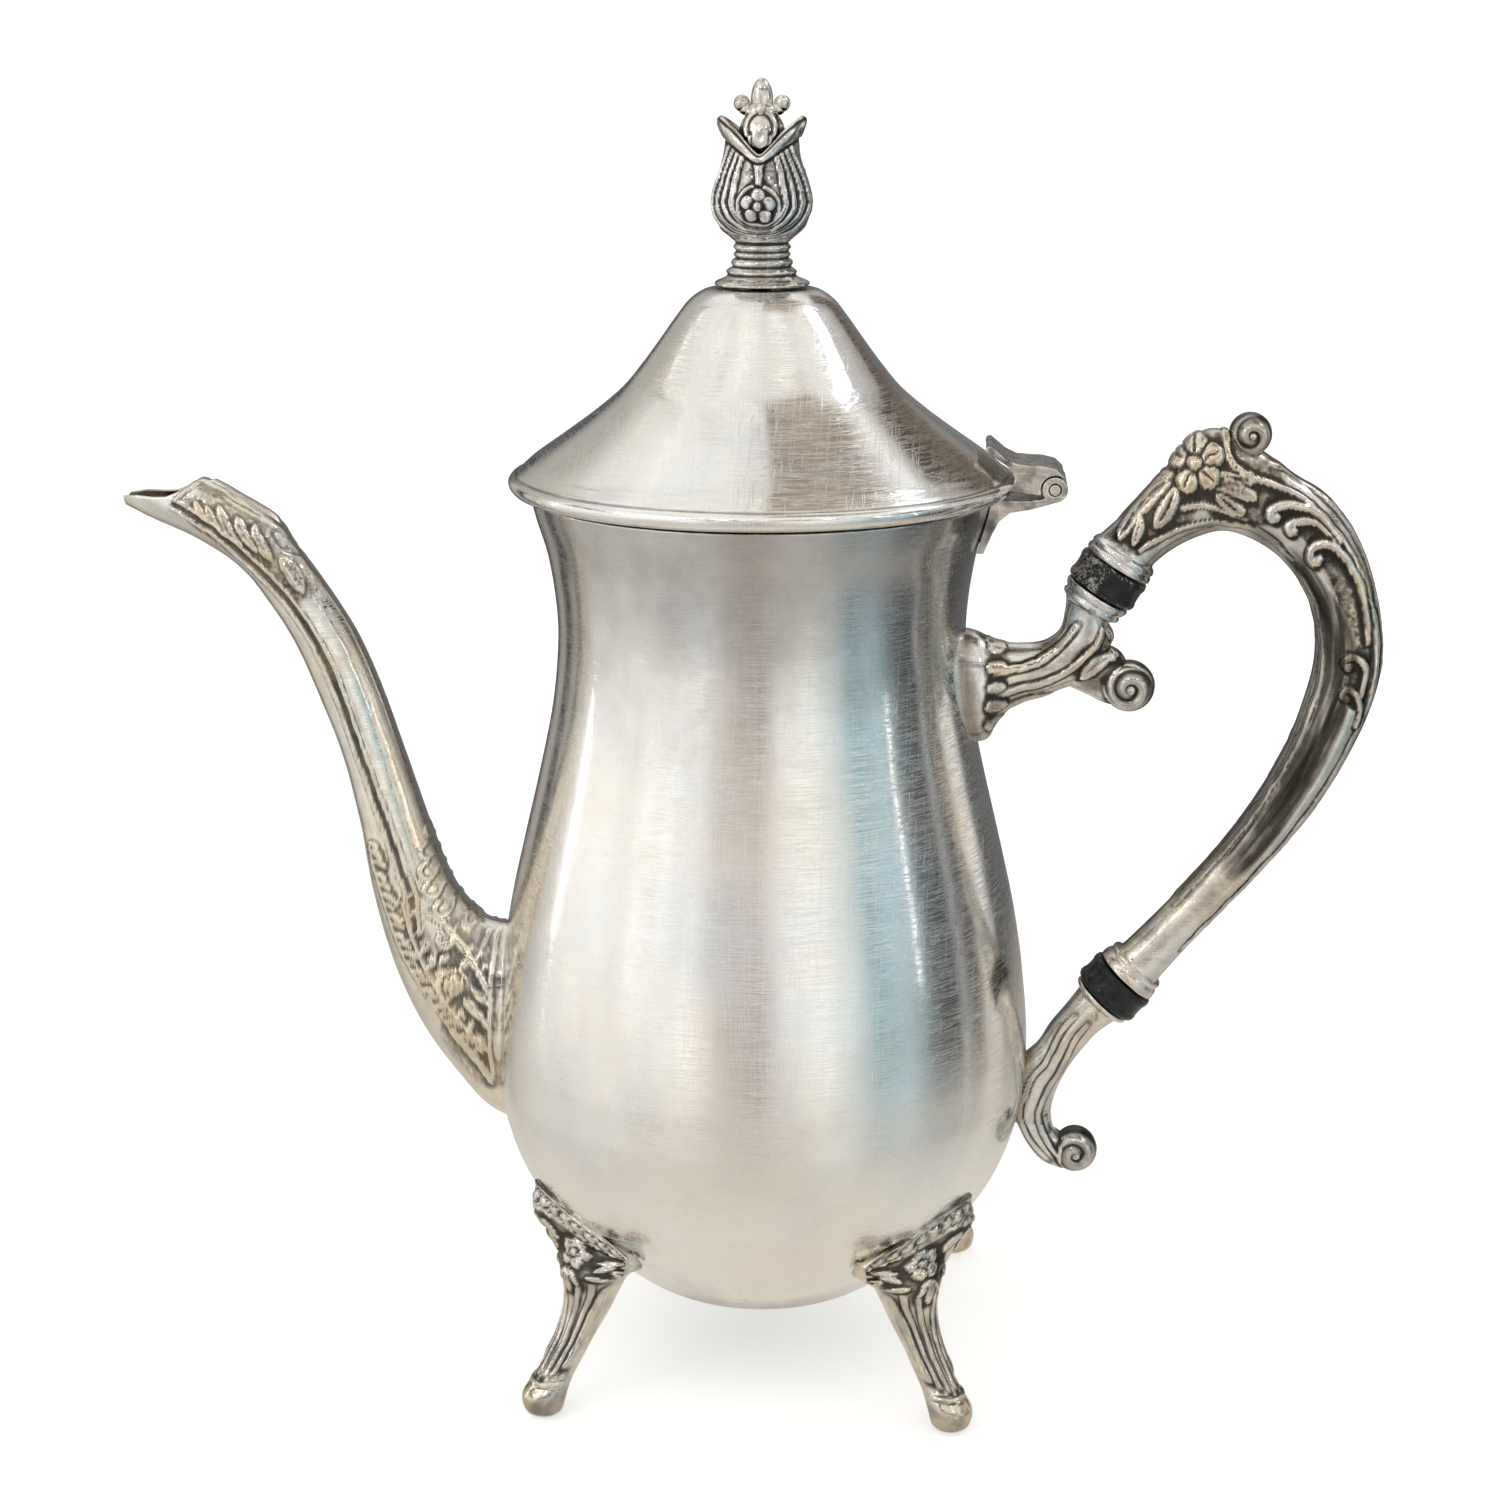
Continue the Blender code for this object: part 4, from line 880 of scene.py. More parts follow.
def flipped(s):
    return s[2:4] + s[0:2] + s[4:]


def on_axis(V, centre, direction):
    n = math.hypot(*direction)
    a = np.array([direction[0] / n, 0, direction[1] / n])
    s = np.array([0, 1.0, 0])
    t = np.cross(a, s)
    return np.array([centre[0], 0, centre[1]]) + V[..., :1] * t + V[..., 1:2] * s + V[..., 2:3] * a


def insulator(name, centre, direction, material, node_name, clean=-120.0, rub=1.0):
    prof = [(0.0, -9.0), (2.6, -9.0), (3.0, -8.6), (3.0, -3.1), (7.0, -3.1), (7.32, -2.9), (7.58, -2.3), (7.55, -1.7), (7.36, -1.2), (7.30, 0), (7.34, 1.1), (7.52, 1.6), (7.58, 2.2), (7.34, 2.9), (7.0, 3.1),
            (3.0, 3.1), (3.0, 8.6), (2.6, 9.0), (0.0, 9.0)]
    P = resample(prof, 0.28)
    V = turned(P, 96)
    r = np.hypot(V[..., 0], V[..., 1])
    h = 0.04 * fbm(V, 2.2, 2) * (r > 5)
    V[..., 0] *= 1 + h / np.maximum(r, 1)
    V[..., 1] *= 1 + h / np.maximum(r, 1)
    t = np.arctan2(V[..., 1], V[..., 0])
    # one clean glossy place on the front, the rest rubbed and flecked with plating
    away = np.abs((t - math.radians(clean) + math.pi) % (2 * math.pi) - math.pi)
    wear_and_shade = 1 - smooth(away, 0.55, 0.75) * rub
    wear_and_shade = np.minimum(wear_and_shade, 1 - 0.8 * rub * smooth(np.abs(V[..., 2]), 1.9, 2.6))
    p = Piece()
    p.grid(on_axis(V, centre, direction), cav=wear_and_shade)
    return p.build(name, "pot", material, [node_name], "insulator")


insulator("insulator_upper_turned", UPPER_INS, UPPER_DIR, M_INS_UP, "upper_insulator")
insulator("insulator_lower_turned", LOWER_INS, LOWER_DIR, M_INS_LOW, "lower_insulator", rub=0.25)


# ---------------------------------------------------------------- discs with scrolls on both faces
def scroll_disc(piece, centre, radius, half, relief, edge=0.35, rows=34, cols=96):
    """A rounded disc in the plane of the handle, its two faces carrying the side-view relief."""
    u = np.linspace(0, 1, rows)
    a = np.linspace(0, 2 * math.pi, cols, endpoint=False)
    sheets = []
    cavs = []
    for sign in (-1, 1):
        rr = radius * u if sign < 0 else radius * u[::-1]
        x = centre[0] + rr[:, None] * np.cos(a)[None]
        z = centre[1] + rr[:, None] * np.sin(a)[None]
        h, work = relief.height_at(x, z)
        y = half * np.clip(1 - (rr / radius) ** 5, 0, 1)[:, None] ** 0.5 + h * (rr < radius * 0.97)[:, None]
        sheets.append(np.stack([x, sign * y, z], 2))
        cavs.append(hollow_tarnish_and_shade(h, work))
    V = np.vstack([sheets[0], sheets[1][1:]])
    W = np.vstack([cavs[0], cavs[1][1:]])
    piece.grid(V, wrap=True, cav=W)


# ================================================================ upper socket
def stations_line(st, fr, a, b, n=9):
    st = np.asarray(st, float)
    i = np.linspace(a, b, n)
    k = np.arange(len(st))
    cols = [np.interp(i, k, st[:, c]) for c in range(4)]
    return [(cols[0][j] * (1 - fr) + cols[2][j] * fr, cols[1][j] * (1 - fr) + cols[3][j] * fr) for j in range(n)]


US = [
    (41.0, 160.0, 41.0, 136.0, 8.0),
    (44.6, 159.2, 46.8, 136.2, 8.0),
    (48.4, 157.4, 49.4, 140.6, 6.6),
    (53.0, 156.8, 53.6, 144.2, 5.4),
    (58.0, 157.4, 60.4, 146.6, 5.0),
    (61.4, 159.8, 68.6, 150.6, 4.8),
    (62.4, 163.6, 72.4, 158.0, 4.8),
    collar(UPPER_INS, UPPER_DIR, -7.6, 5.2),
    collar(UPPER_INS, UPPER_DIR, -6.7, 6.3),
    collar(UPPER_INS, UPPER_DIR, -6.1, 6.6),
    collar(UPPER_INS, UPPER_DIR, -5.5, 6.3),
    collar(UPPER_INS, UPPER_DIR, -5.0, 6.7),
    collar(UPPER_INS, UPPER_DIR, -4.2, 7.05),
    collar(UPPER_INS, UPPER_DIR, -3.6, 7.0),
    collar(UPPER_INS, UPPER_DIR, -3.42, 6.6),
]
R_US = Relief()
R_US.volute((75.4, 148.6), 5.0, 0.9, turns=2.1, start=0.2, hand=-1)
R_US.ridge([(47.5, 152.0), (53, 152.6), (58, 154.2), (62.6, 158.2), (65.2, 162.0)], 1.1, 0.8, h=0.65, power=0.8, split=True)
R_US.ridge([(47.5, 147.0), (53, 148.4), (58.6, 149.8), (64.6, 153.0), (69.0, 157.8), (70.2, 161.4)], 1.0, 0.8, h=0.65, power=0.8)
R_US.ridge([(48.6, 142.6), (54, 145.4), (61, 146.2), (67.4, 145.0), (72.0, 143.6), (76.6, 143.4)], 0.9, 0.9, h=0.7, power=0.8)
R_US.ridge([(70.6, 161.0), (73.6, 157.2), (78.2, 154.6), (80.8, 150.4)], 0.8, 0.8, h=0.6, power=0.8)
R_US.leaf((66.0, 150.0), (72.4, 155.4), 1.7, 0.75, crease=0.3, bend=0.6)
R_US.bead((72.4, 155.2), 1.3, 0.95)
for k in range(5):
    R_US.leaf((46.5, 157.6 - 4.4 * k), (50.6 + 0.5 * (k % 2), 156.2 - 3.6 * k), 1.5, 0.55, crease=0.25)


def cast_loft(piece, stations, relief, per=7, step=0.45, sides=112, power=2.0, fit=True, side_power=0.6, grain=0.08, caps=(True, True), linear=False, underside_shade=0.0, shade=None, lift=None):
    st = resample(stations if linear else catmull(stations, per), step)
    V = loft(st, sides, power)
    D, cav, tint = displaced(V, relief, side_power=side_power, grain=grain)
    if fit:
        near = 1 - smooth(np.hypot(D[..., 0], D[..., 1]) - body_radius(D[..., 2]), 0.5, 3.5)
        tint = np.maximum(tint, 0.9 * near)
        cav = np.minimum(cav, 1 - 0.35 * near)
        D = fit_to_body(D)
    if underside_shade:
        # painted shade: the underside and the inner edge facing the pot are darkened, unevenly
        c = np.cos(np.linspace(0, 2 * math.pi, sides, endpoint=False))[None]
        cav = np.minimum(cav, 1 - underside_shade * smooth(-c, 0.15, 0.85) * (0.75 + 0.5 * fbm(D, 6.0, 2)))
    # painted shade: what faces away from the flat sides, the rims of the casting, is darkened unevenly
    edge_shade = 1 - np.clip(np.abs(grid_normals(V)[..., 1]), 0, 1)
    cav = np.minimum(cav, 1 - 0.42 * edge_shade ** 1.3 * np.clip(0.8 + 0.8 * fbm(V + 2.0, 4.0, 2), 0.2, 1.2))
    if shade:
        # painted shade, dark and streaked, along the channel of the handle
        path, width, depth = shade
        m, _ = Relief().ridge(path, width, h=1.0, power=0.4, taper=0.08).height_at(D[..., 0], D[..., 2])
        around_, down_ = np.meshgrid(np.linspace(0, 60, sides), np.arange(len(V)) * step / 16.0)
        streak = 0.9 + 0.7 * fbm(np.stack([around_, down_, np.zeros_like(around_)], 2), 1.0, 3)
        cav = np.minimum(cav, 1 - depth * m * np.clip(streak, 0.3, 1.2) * np.clip(np.abs(grid_normals(V)[..., 1]) * 1.5, 0, 1))
    if lift is not None:
        # high ground wiped clean of tarnish, its painted shade lightened too: only the narrow clefts stay dark
        cav = 1 - (1 - cav) * (1 - lift[1] * lift[0](D))
    piece.grid(D, cav=np.clip(cav, 0, 1), caps=caps, tint=tint)
    return st


p = Piece()
cast_loft(p, US, R_US, underside_shade=0.22)
scroll_disc(p, (76.0, 148.2), 5.35, 3.9, Relief().volute((76.0, 148.2), 5.2, 1.1, turns=1.4, start=0.2, hand=-1))
# the web that carries the scroll
web = [(61.0, 149.0), (66.5, 146.6), (72.0, 144.2), (75.6, 144.6), (75.6, 152.4), (72.6, 156.4), (66.0, 156.6), (62.0, 153.0)]


def plate(piece, outline, half, relief, rows=16, cols=96, power=3.0):
    """A domed plate over a closed outline, both faces with relief."""
    o = catmull(outline + [outline[0]], 8)
    o = resample(o, np.linalg.norm(np.diff(o, axis=0), axis=1).sum() / cols)[:-1]
    c = o.mean(0)
    u = np.linspace(0, 1, rows)
    parts, cavs = [], []
    for sign in (-1, 1):
        k = u if sign < 0 else u[::-1]
        x = c[0] + (o[None, :, 0] - c[0]) * k[:, None]
        z = c[1] + (o[None, :, 1] - c[1]) * k[:, None]
        h, work = relief.height_at(x, z)
        y = half * np.clip(1 - k ** power, 0, 1)[:, None] ** 0.5 + h * (k < 0.97)[:, None]
        parts.append(np.stack([x, sign * y, z], 2))
        cavs.append(hollow_tarnish_and_shade(h, work))
    piece.grid(np.vstack([parts[0], parts[1][1:]]), cav=np.vstack([cavs[0], cavs[1][1:]]))


plate(p, web, 3.4, R_US)
p.build("socket_upper_cast", "pot", M_CAST, ["upper_handle_socket"], "upper_handle_socket")

# ================================================================ lower socket
LS = [
    collar(LOWER_INS, LOWER_DIR, -3.42, 6.3),
    collar(LOWER_INS, LOWER_DIR, -3.7, 6.65),
    collar(LOWER_INS, LOWER_DIR, -4.3, 6.6),
    collar(LOWER_INS, LOWER_DIR, -4.8, 6.0),
    collar(LOWER_INS, LOWER_DIR, -5.4, 5.2),
    (65.4, 78.2, 72.2, 72.2, 4.8),
    (61.8, 73.4, 69.8, 69.4, 4.8),
    (59.0, 68.8, 66.6, 64.8, 4.8),
    (53.4, 63.6, 64.2, 60.0, 5.4),
    (50.0, 59.0, 62.9, 56.0, 5.8),
    (50.0, 53.4, 62.4, 51.8, 5.6),
]
R_LS = Relief()
R_LS.volute((68.0, 44.9), 4.5, 0.8, turns=1.9, start=0.1, hand=1)
R_LS.ridge([(69.8, 75.6), (66.8, 70.6), (64.6, 65.6), (61.6, 60.0), (59.8, 54.6), (61.4, 48.8), (65.6, 43.0), (70.0, 40.6)], 0.7, 0.8, h=0.42, power=0.9)
R_LS.ridge([(67.0, 77.0), (63.8, 72.2), (61.2, 66.8), (57.4, 61.2), (55.8, 54.6), (57.8, 48.4), (62.4, 42.8)], 0.7, 0.7, h=0.38, power=0.9)
p = Piece()
cast_loft(p, LS, R_LS, grain=0.02, underside_shade=0.28)
scroll_disc(p, (68.0, 44.9), 4.75, 3.8, Relief().volute((68.0, 44.9), 4.6, 1.0, turns=1.3, start=0.1, hand=1))
plate(p, [(52.6, 56.0), (55.4, 50.2), (57.4, 46.2), (61.0, 42.0), (66.6, 40.4), (67.0, 46.0), (63.4, 49.4), (62.2, 55.0), (60.0, 59.0)], 3.8, R_LS)
for v in p.verts:
    v[:] = fit_to_body(v)
p.build("socket_lower_cast", "pot", M_CAST, ["lower_handle_socket"], "lower_handle_socket")

# ================================================================ handle
HANDLE = [
    collar(UPPER_INS, UPPER_DIR, 3.42, 7.0),
    collar(UPPER_INS, UPPER_DIR, 3.8, 7.3),
    collar(UPPER_INS, UPPER_DIR, 4.5, 7.25),
    collar(UPPER_INS, UPPER_DIR, 5.0, 6.9),
    collar(UPPER_INS, UPPER_DIR, 5.5, 7.15),
    collar(UPPER_INS, UPPER_DIR, 6.3, 6.9),
    collar(UPPER_INS, UPPER_DIR, 7.6, 6.1),
    (74.4, 185.0, 84.0, 177.2, 6.2),
    (80.6, 192.2, 89.0, 179.8, 6.2),
    (87.4, 200.4, 93.4, 180.9, 6.2),
    (93.6, 201.4, 97.4, 180.2, 6.2),
    (101.6, 197.0, 101.8, 178.2, 6.2),
    (107.4, 192.6, 105.8, 175.2, 6.2),
    (115.0, 187.8, 109.6, 170.6, 6.4),
    (120.8, 179.8, 112.2, 165.4, 6.6),
    (124.9, 169.0, 113.3, 160.0, 6.7),
    (127.0, 157.0, 113.4, 154.0, 6.7),
    (126.0, 147.0, 112.2, 147.6, 6.7),
    (121.8, 135.4, 109.0, 137.0, 6.5),
    (115.4, 123.2, 104.0, 126.4, 6.2),
    (108.2, 113.4, 98.0, 116.6, 5.8),
    (100.8, 104.4, 91.4, 108.0, 5.4),
    (93.0, 95.4, 84.6, 100.2, 5.0),
    flipped(collar(LOWER_INS, LOWER_DIR, 8.2, 5.2)),
    flipped(collar(LOWER_INS, LOWER_DIR, 7.2, 6.2)),
    flipped(collar(LOWER_INS, LOWER_DIR, 6.6, 6.45)),
    flipped(collar(LOWER_INS, LOWER_DIR, 5.9, 6.3)),
    flipped(collar(LOWER_INS, LOWER_DIR, 5.2, 6.75)),
    flipped(collar(LOWER_INS, LOWER_DIR, 4.0, 6.95)),
    flipped(collar(LOWER_INS, LOWER_DIR, 3.6, 6.9)),
    flipped(collar(LOWER_INS, LOWER_DIR, 3.42, 6.5)),
]
R_H = Relief()
R_H.ground([(78.5, 186.0), (82.5, 190.5), (88.0, 194.5), (94.0, 193.0), (99.5, 189.0)], 7.0, 0.16)
# five round petals about a bead, each with a fold down its middle
for k, a in enumerate((88, 28, -42, -112, 158)):
    ca, sa = math.cos(math.radians(a)), math.sin(math.radians(a))
    cx, cz = 87.2 + 3.55 * ca, 195.2 + 3.45 * sa
    R_H.bead((cx, cz), 2.65, 1.45, flat=3.0)
    R_H.groove([(87.2 + 1.9 * ca, 195.2 + 1.9 * sa), (87.2 + 5.4 * ca, 195.2 + 5.4 * sa)], 0.42, 0.3, h=0.6)
    for da in (-16, 16):
        c2, s2 = math.cos(math.radians(a + da)), math.sin(math.radians(a + da))
        R_H.groove([(87.2 + 2.4 * c2, 195.2 + 2.4 * s2), (87.2 + 4.9 * c2, 195.2 + 4.9 * s2)], 0.22, 0.2, h=0.22)
    mid_a = a - 34
    R_H.groove([(87.2 + 1.6 * math.cos(math.radians(mid_a)), 195.2 + 1.6 * math.sin(math.radians(mid_a))), (87.2 + 5.0 * math.cos(math.radians(mid_a)), 195.2 + 5.0 * math.sin(math.radians(mid_a)))], 0.4, 0.5, h=0.5, taper=0.0)
R_H.bead((87.2, 195.2), 1.75, 2.0)
for a, b, w, bend in [((90.6, 191.0), (99.8, 188.4), 2.0, 0.7), ((91.6, 189.4), (97.6, 185.2), 1.7, -0.2), ((91.8, 193.2), (99.0, 191.6), 1.4, 0.4),
                      ((83.6, 190.6), (79.8, 182.2), 2.0, 0.3), ((82.4, 191.6), (76.0, 184.4), 2.0, -0.5), ((83.0, 193.0), (76.8, 189.0), 1.4, -0.6), ((78.6, 188.0), (72.6, 179.4), 1.7, -0.4), ((77.0, 184.4), (75.4, 178.6), 1.2, 0.2)]:
    R_H.leaf(a, b, w, 0.85, crease=0.40, bend=bend)
    a_, b_ = np.array(a), np.array(b)
    d_ = (b_ - a_) / np.hypot(*(b_ - a_))
    n_ = np.array([-d_[1], d_[0]])
    for q in (0.25, 0.42, 0.60, 0.76):
        m_ = a_ + (b_ - a_) * q + n_ * bend * 4 * q * (1 - q)
        for sgn in (-1, 1):
            R_H.groove([tuple(m_), tuple(m_ + d_ * 0.9 + n_ * sgn * w * 0.8)], 0.2, 0.16, h=0.24, taper=0.0)
R_H.ridge([(98.4, 205.3), (95.2, 204.4), (93.4, 201.4), (93.4, 197.6), (95.4, 194.6), (98.8, 192.9)], 0.95, 0.8, h=1.05, power=0.7, taper=0.05, split=True)
R_H.ridge([(96.5, 193.8), (100.5, 192.0), (106.0, 190.0), (112.5, 185.5), (117.5, 179.5), (121.5, 172.5), (124.0, 165.0), (125.0, 159.0), (125.0, 150.5), (123.2, 143.0)], 0.75, 0.7, h=0.75, power=0.8, taper=0.05)
R_H.ridge([(101.6, 195.6), (107.0, 193.2), (113.0, 188.7), (117.7, 184.0), (121.7, 177.5), (124.6, 169.5), (126.2, 160.0), (126.6, 152.0)], 0.7, 0.6, h=0.6, power=0.8, taper=0.05)
R_H.ground([(103, 188.0), (110, 183.4), (115.4, 177), (119.4, 168), (121.6, 157), (121.4, 148)], 2.9, 0.16)
for pts, w0, w1, h in [
    ([(104.0, 184.2), (102.6, 185.0), (103.4, 186.7), (106.5, 187.4), (111.0, 186.0), (114.5, 183.0), (117.0, 179.0)], 1.25, 0.7, 0.95),
    ([(107.6, 181.4), (106.3, 182.5), (107.5, 184.0), (111.0, 184.0), (114.4, 181.6), (117.6, 177.0)], 1.1, 0.6, 0.85),
    ([(112.6, 175.4), (111.0, 176.6), (111.6, 178.9), (114.6, 179.6), (118.0, 176.4), (121.0, 171.0), (122.6, 164.6), (123.2, 158.6)], 1.3, 0.65, 0.95),
    ([(119.6, 153.6), (118.5, 155.2), (120.4, 156.4), (122.8, 154.6), (123.1, 151.6), (122.2, 147.6)], 1.05, 0.6, 0.85),
    ([(119.4, 147.2), (118.4, 148.6), (119.8, 149.8), (121.8, 148.0), (122.2, 144.8), (121.4, 141.4)], 0.95, 0.5, 0.8),
]:
    R_H.ridge(pts, w0, w1, h=h, power=0.75, taper=0.04)
for c, r in [((103.6, 184.9), 1.35), ((107.2, 182.2), 1.2), ((112.2, 176.4), 1.45), ((119.4, 154.2), 1.15), ((119.2, 147.8), 1.05)]:
    R_H.bead(c, r, 1.05)
inner_bead = [(76.6, 177.2), (79.5, 179.4), (84.5, 181.9), (90.0, 183.2), (97.0, 182.8), (103.5, 179.9), (108.0, 174.6), (111.4, 168.4), (114.0, 161.0), (114.6, 153.5), (113.3, 146.2), (110.4, 137.6), (105.2, 127.0), (99.2, 117.4), (92.8, 109.0), (86.6, 101.4)]
R_H.ridge(inner_bead, 0.65, 0.6, h=0.55, power=0.8, taper=0.02)
R_H.ridge(stations_line(HANDLE, 0.12, 17.2, 22.4, 12), 0.7, 0.6, h=0.5, power=0.8, taper=0.04)
R_H.groove([(110.6, 170.0), (116.4, 163.0), (118.4, 155.6), (117.4, 147.6), (114.6, 138.0), (109.6, 127.6), (103.4, 117.6), (96.6, 108.8), (90.2, 101.2)], 2.6, 2.0, h=0.35, taper=0.12)
R_H.ridge([(84, 186.2), (89.5, 187.0), (95.6, 184.9), (98.4, 183.6)], 0.8, 0.6, h=0.5)
p = Piece()
cast_loft(p, HANDLE, R_H, step=0.42, sides=120, power=2.15, fit=False, grain=0.07, underside_shade=0.45, side_power=0.4,
          shade=([(104.6, 178.6), (110.6, 170.4), (116.0, 163.0), (118.0, 155.6), (117.2, 147.6), (114.2, 138.0), (109.2, 127.6), (103.0, 117.6), (96.2, 108.8)], 3.4, 0.85),
          lift=(lambda D: smooth(D[..., 2], 178, 184) * (1 - smooth(D[..., 0], 98, 106)), 0.15))
scroll_disc(p, (98.4, 200.7), 4.3, 4.4, Relief().volute((98.4, 200.7), 4.15, 1.15, turns=1.2, start=0.15, hand=-1))
for v in p.verts:
    v[..., 0] = np.minimum(v[..., 0], 127.1)
p.build("handle_cast", "pot", M_CAST, ["handle"], "handle")

# ================================================================ feet
FOOT = [
    (0.05, 59.6, 2.4, 2.4), (1.4, 59.9, 4.0, 4.0), (4.6, 59.6, 4.7, 4.6), (7.8, 57.2, 4.2, 4.1), (11.0, 54.4, 3.9, 3.9), (15.0, 51.3, 4.0, 3.9),
    (20.0, 48.2, 4.8, 4.7), (25.0, 46.4, 6.0, 6.0), (30.0, 46.0, 7.8, 8.2), (35.0, 47.4, 9.2, 11.0), (40.0, 48.6, 8.6, 13.2), (45.2, 48.4, 5.6, 13.8),
]
R_F = Relief()     # here x is the width across the foot and z the height
for sx in (-1, 1):
    R_F.ridge([(sx * 0.9, 8.5), (sx * 0.95, 13), (sx * 1.2, 19), (sx * 2.0, 25), (sx * 2.6, 28)], 0.55, 0.7, h=0.55, power=0.8)
    R_F.ridge([(sx * 2.3, 9.0), (sx * 2.4, 14), (sx * 3.0, 20), (sx * 4.6, 26), (sx * 5.6, 29)], 0.5, 0.6, h=0.5, power=0.8)
    R_F.ridge([(sx * 3.5, 10), (sx * 3.5, 15), (sx * 4.5, 21.5), (sx * 6.8, 26.6), (sx * 9.8, 29.4), (sx * 11.8, 32.0), (sx * 11.2, 34.6), (sx * 9.2, 34.6), (sx * 8.9, 32.9)], 0.7, 0.75, h=0.8, power=0.75, taper=0.05)
    R_F.bead((sx * 9.5, 33.3), 0.95, 0.9)
    R_F.leaf((sx * 4.4, 30.6), (sx * 8.2, 30.2), 1.0, 0.6)
    R_F.leaf((sx * 5.6, 32.8), (sx * 8.6, 36.4), 1.1, 0.6)
    R_F.leaf((sx * 5.4, 35.6), (sx * 9.8, 38.6), 1.1, 0.65)
    R_F.leaf((sx * 9.6, 36.6), (sx * 12.6, 38.8), 0.9, 0.55)
    R_F.bead((sx * 12.2, 36.0), 0.8, 0.6)
for k in range(9):
    x0 = -11.6 + 2.9 * k
    R_F.bead((x0, 42.7), 1.15, 0.75, flat=7.0)
    R_F.bead((x0 + 1.45, 40.6), 0.6, 0.5)
R_F.ridge([(-13.4, 44.7), (0, 44.9), (13.4, 44.7)], 0.45, h=0.4, taper=0.02)
for k in range(5):
    a_ = math.radians(90 + 72 * k)
    R_F.bead((2.25 * math.cos(a_), 35.4 + 2.25 * math.sin(a_)), 1.65, 0.85, flat=3.0)
    R_F.groove([(0.9 * math.cos(a_), 35.4 + 0.9 * math.sin(a_)), (3.5 * math.cos(a_), 35.4 + 3.5 * math.sin(a_))], 0.26, h=0.35, taper=0.0)
R_F.bead((0, 35.4), 1.2, 1.2)
R_F.leaf((0, 31.6), (0, 25.0), 1.2, 0.7)
for sx in (-1, 1):
    R_F.leaf((sx * 0.6, 31.4), (sx * 2.9, 27.4), 0.8, 0.55)
R_F.ground([(-10, 36), (0, 35), (10, 36)], 4.6, 0.12)
R_F.ridge([(-4.4, 7.7), (0, 7.2), (4.4, 7.7)], 0.5, h=0.35, taper=0.0)


def foot(name, node_name, degrees):
    a = math.radians(degrees)
    st = resample(catmull(FOOT, 10), 0.42)
    st[:, 0] = np.clip(st[:, 0], 0.05, 45.2)
    sides = 112
    t = np.linspace(0, 2 * math.pi, sides, endpoint=False)
    R = st[:, 1:2] + st[:, 2:3] * np.cos(t)[None]
    T = st[:, 3:4] * np.sin(t)[None]
    Z = np.repeat(st[:, :1], sides, 1)
    # its upper edge slants down towards the middle of the pot
    lean = 1 if degrees in (225, 45) else -1
    drop = 9.0 * smooth(lean * T / 13.8, -0.9, 1.05) * smooth(Z, 26, 45.2)
    Zs = Z - drop
    # the bracket at the top hugs the body, a thin plate with a crowned middle
    across = np.clip(np.abs(T) / 13.8, 0, 1)
    crown = 0.45 + (0.8 + 2.6 * (1 - across ** 2)) * (1 - smooth(Z, 35.0, 45.4)) ** 0.8
    crown = crown + 3.2 * smooth(-lean * T, 2.0, 13.0) * (1 - smooth(Z, 39.0, 45.4)) * smooth(Z, 27, 33)
    plate_r = np.sqrt(np.maximum((body_radius(Zs) + crown) ** 2 - T ** 2, 1))
    k = smooth(Z, 28, 39) * smooth(np.cos(t)[None], 0.0, 0.12)
    R = R * (1 - k) + plate_r * k
    V = np.stack([R, T, Zs], 2)
    N = grid_normals(V)
    h, work = R_F.height_at(T + (0.08 + 0.3 * smooth(Z, 26, 32)) * fbm(V + degrees, 3.0, 2), Z + 0.3 * fbm(V + degrees + 17.0, 3.0, 2))
    face = smooth(np.cos(t)[None], -0.02, 0.22) * np.clip(N[..., 0] + 0.45, 0, 1)
    h = h * face
    D = V + N * (h + 0.05 * fbm(V + degrees, 3, 2) + 0.08 * work * face * fbm(V, 0.55, 2))[..., None]
    D[..., 2] = np.clip(D[..., 2], 0.02, 45.4)
    cav = 1 - (1 - hollow_tarnish_and_shade(h, work * face)) * 0.80
    tint = np.clip(blurred(work * face, 4, 4) * 0.6 + 0.9 * (1 - smooth(Z, 4, 10)), 0, 1)
    cav = np.minimum(cav, 1 - 0.30 * (1 - smooth(Z, 3, 9)) * (0.8 + 0.8 * fbm(D + degrees, 3.0, 2)))
    X = D[..., 0] * math.cos(a) - D[..., 1] * math.sin(a)
    Y = D[..., 0] * math.sin(a) + D[..., 1] * math.cos(a)
    W = fit_to_body(np.stack([X, Y, D[..., 2]], 2))
    q = Piece()
    q.grid(W, cav=cav, caps=(True, True), tint=tint)
    q.build(name, "pot", M_FOOT, [node_name], "foot")


for nm, deg in (("foot_spout_near", 225), ("foot_spout_far", 135), ("foot_handle_near", 315), ("foot_handle_far", 45)):
    foot(nm + "_cast", nm, deg)

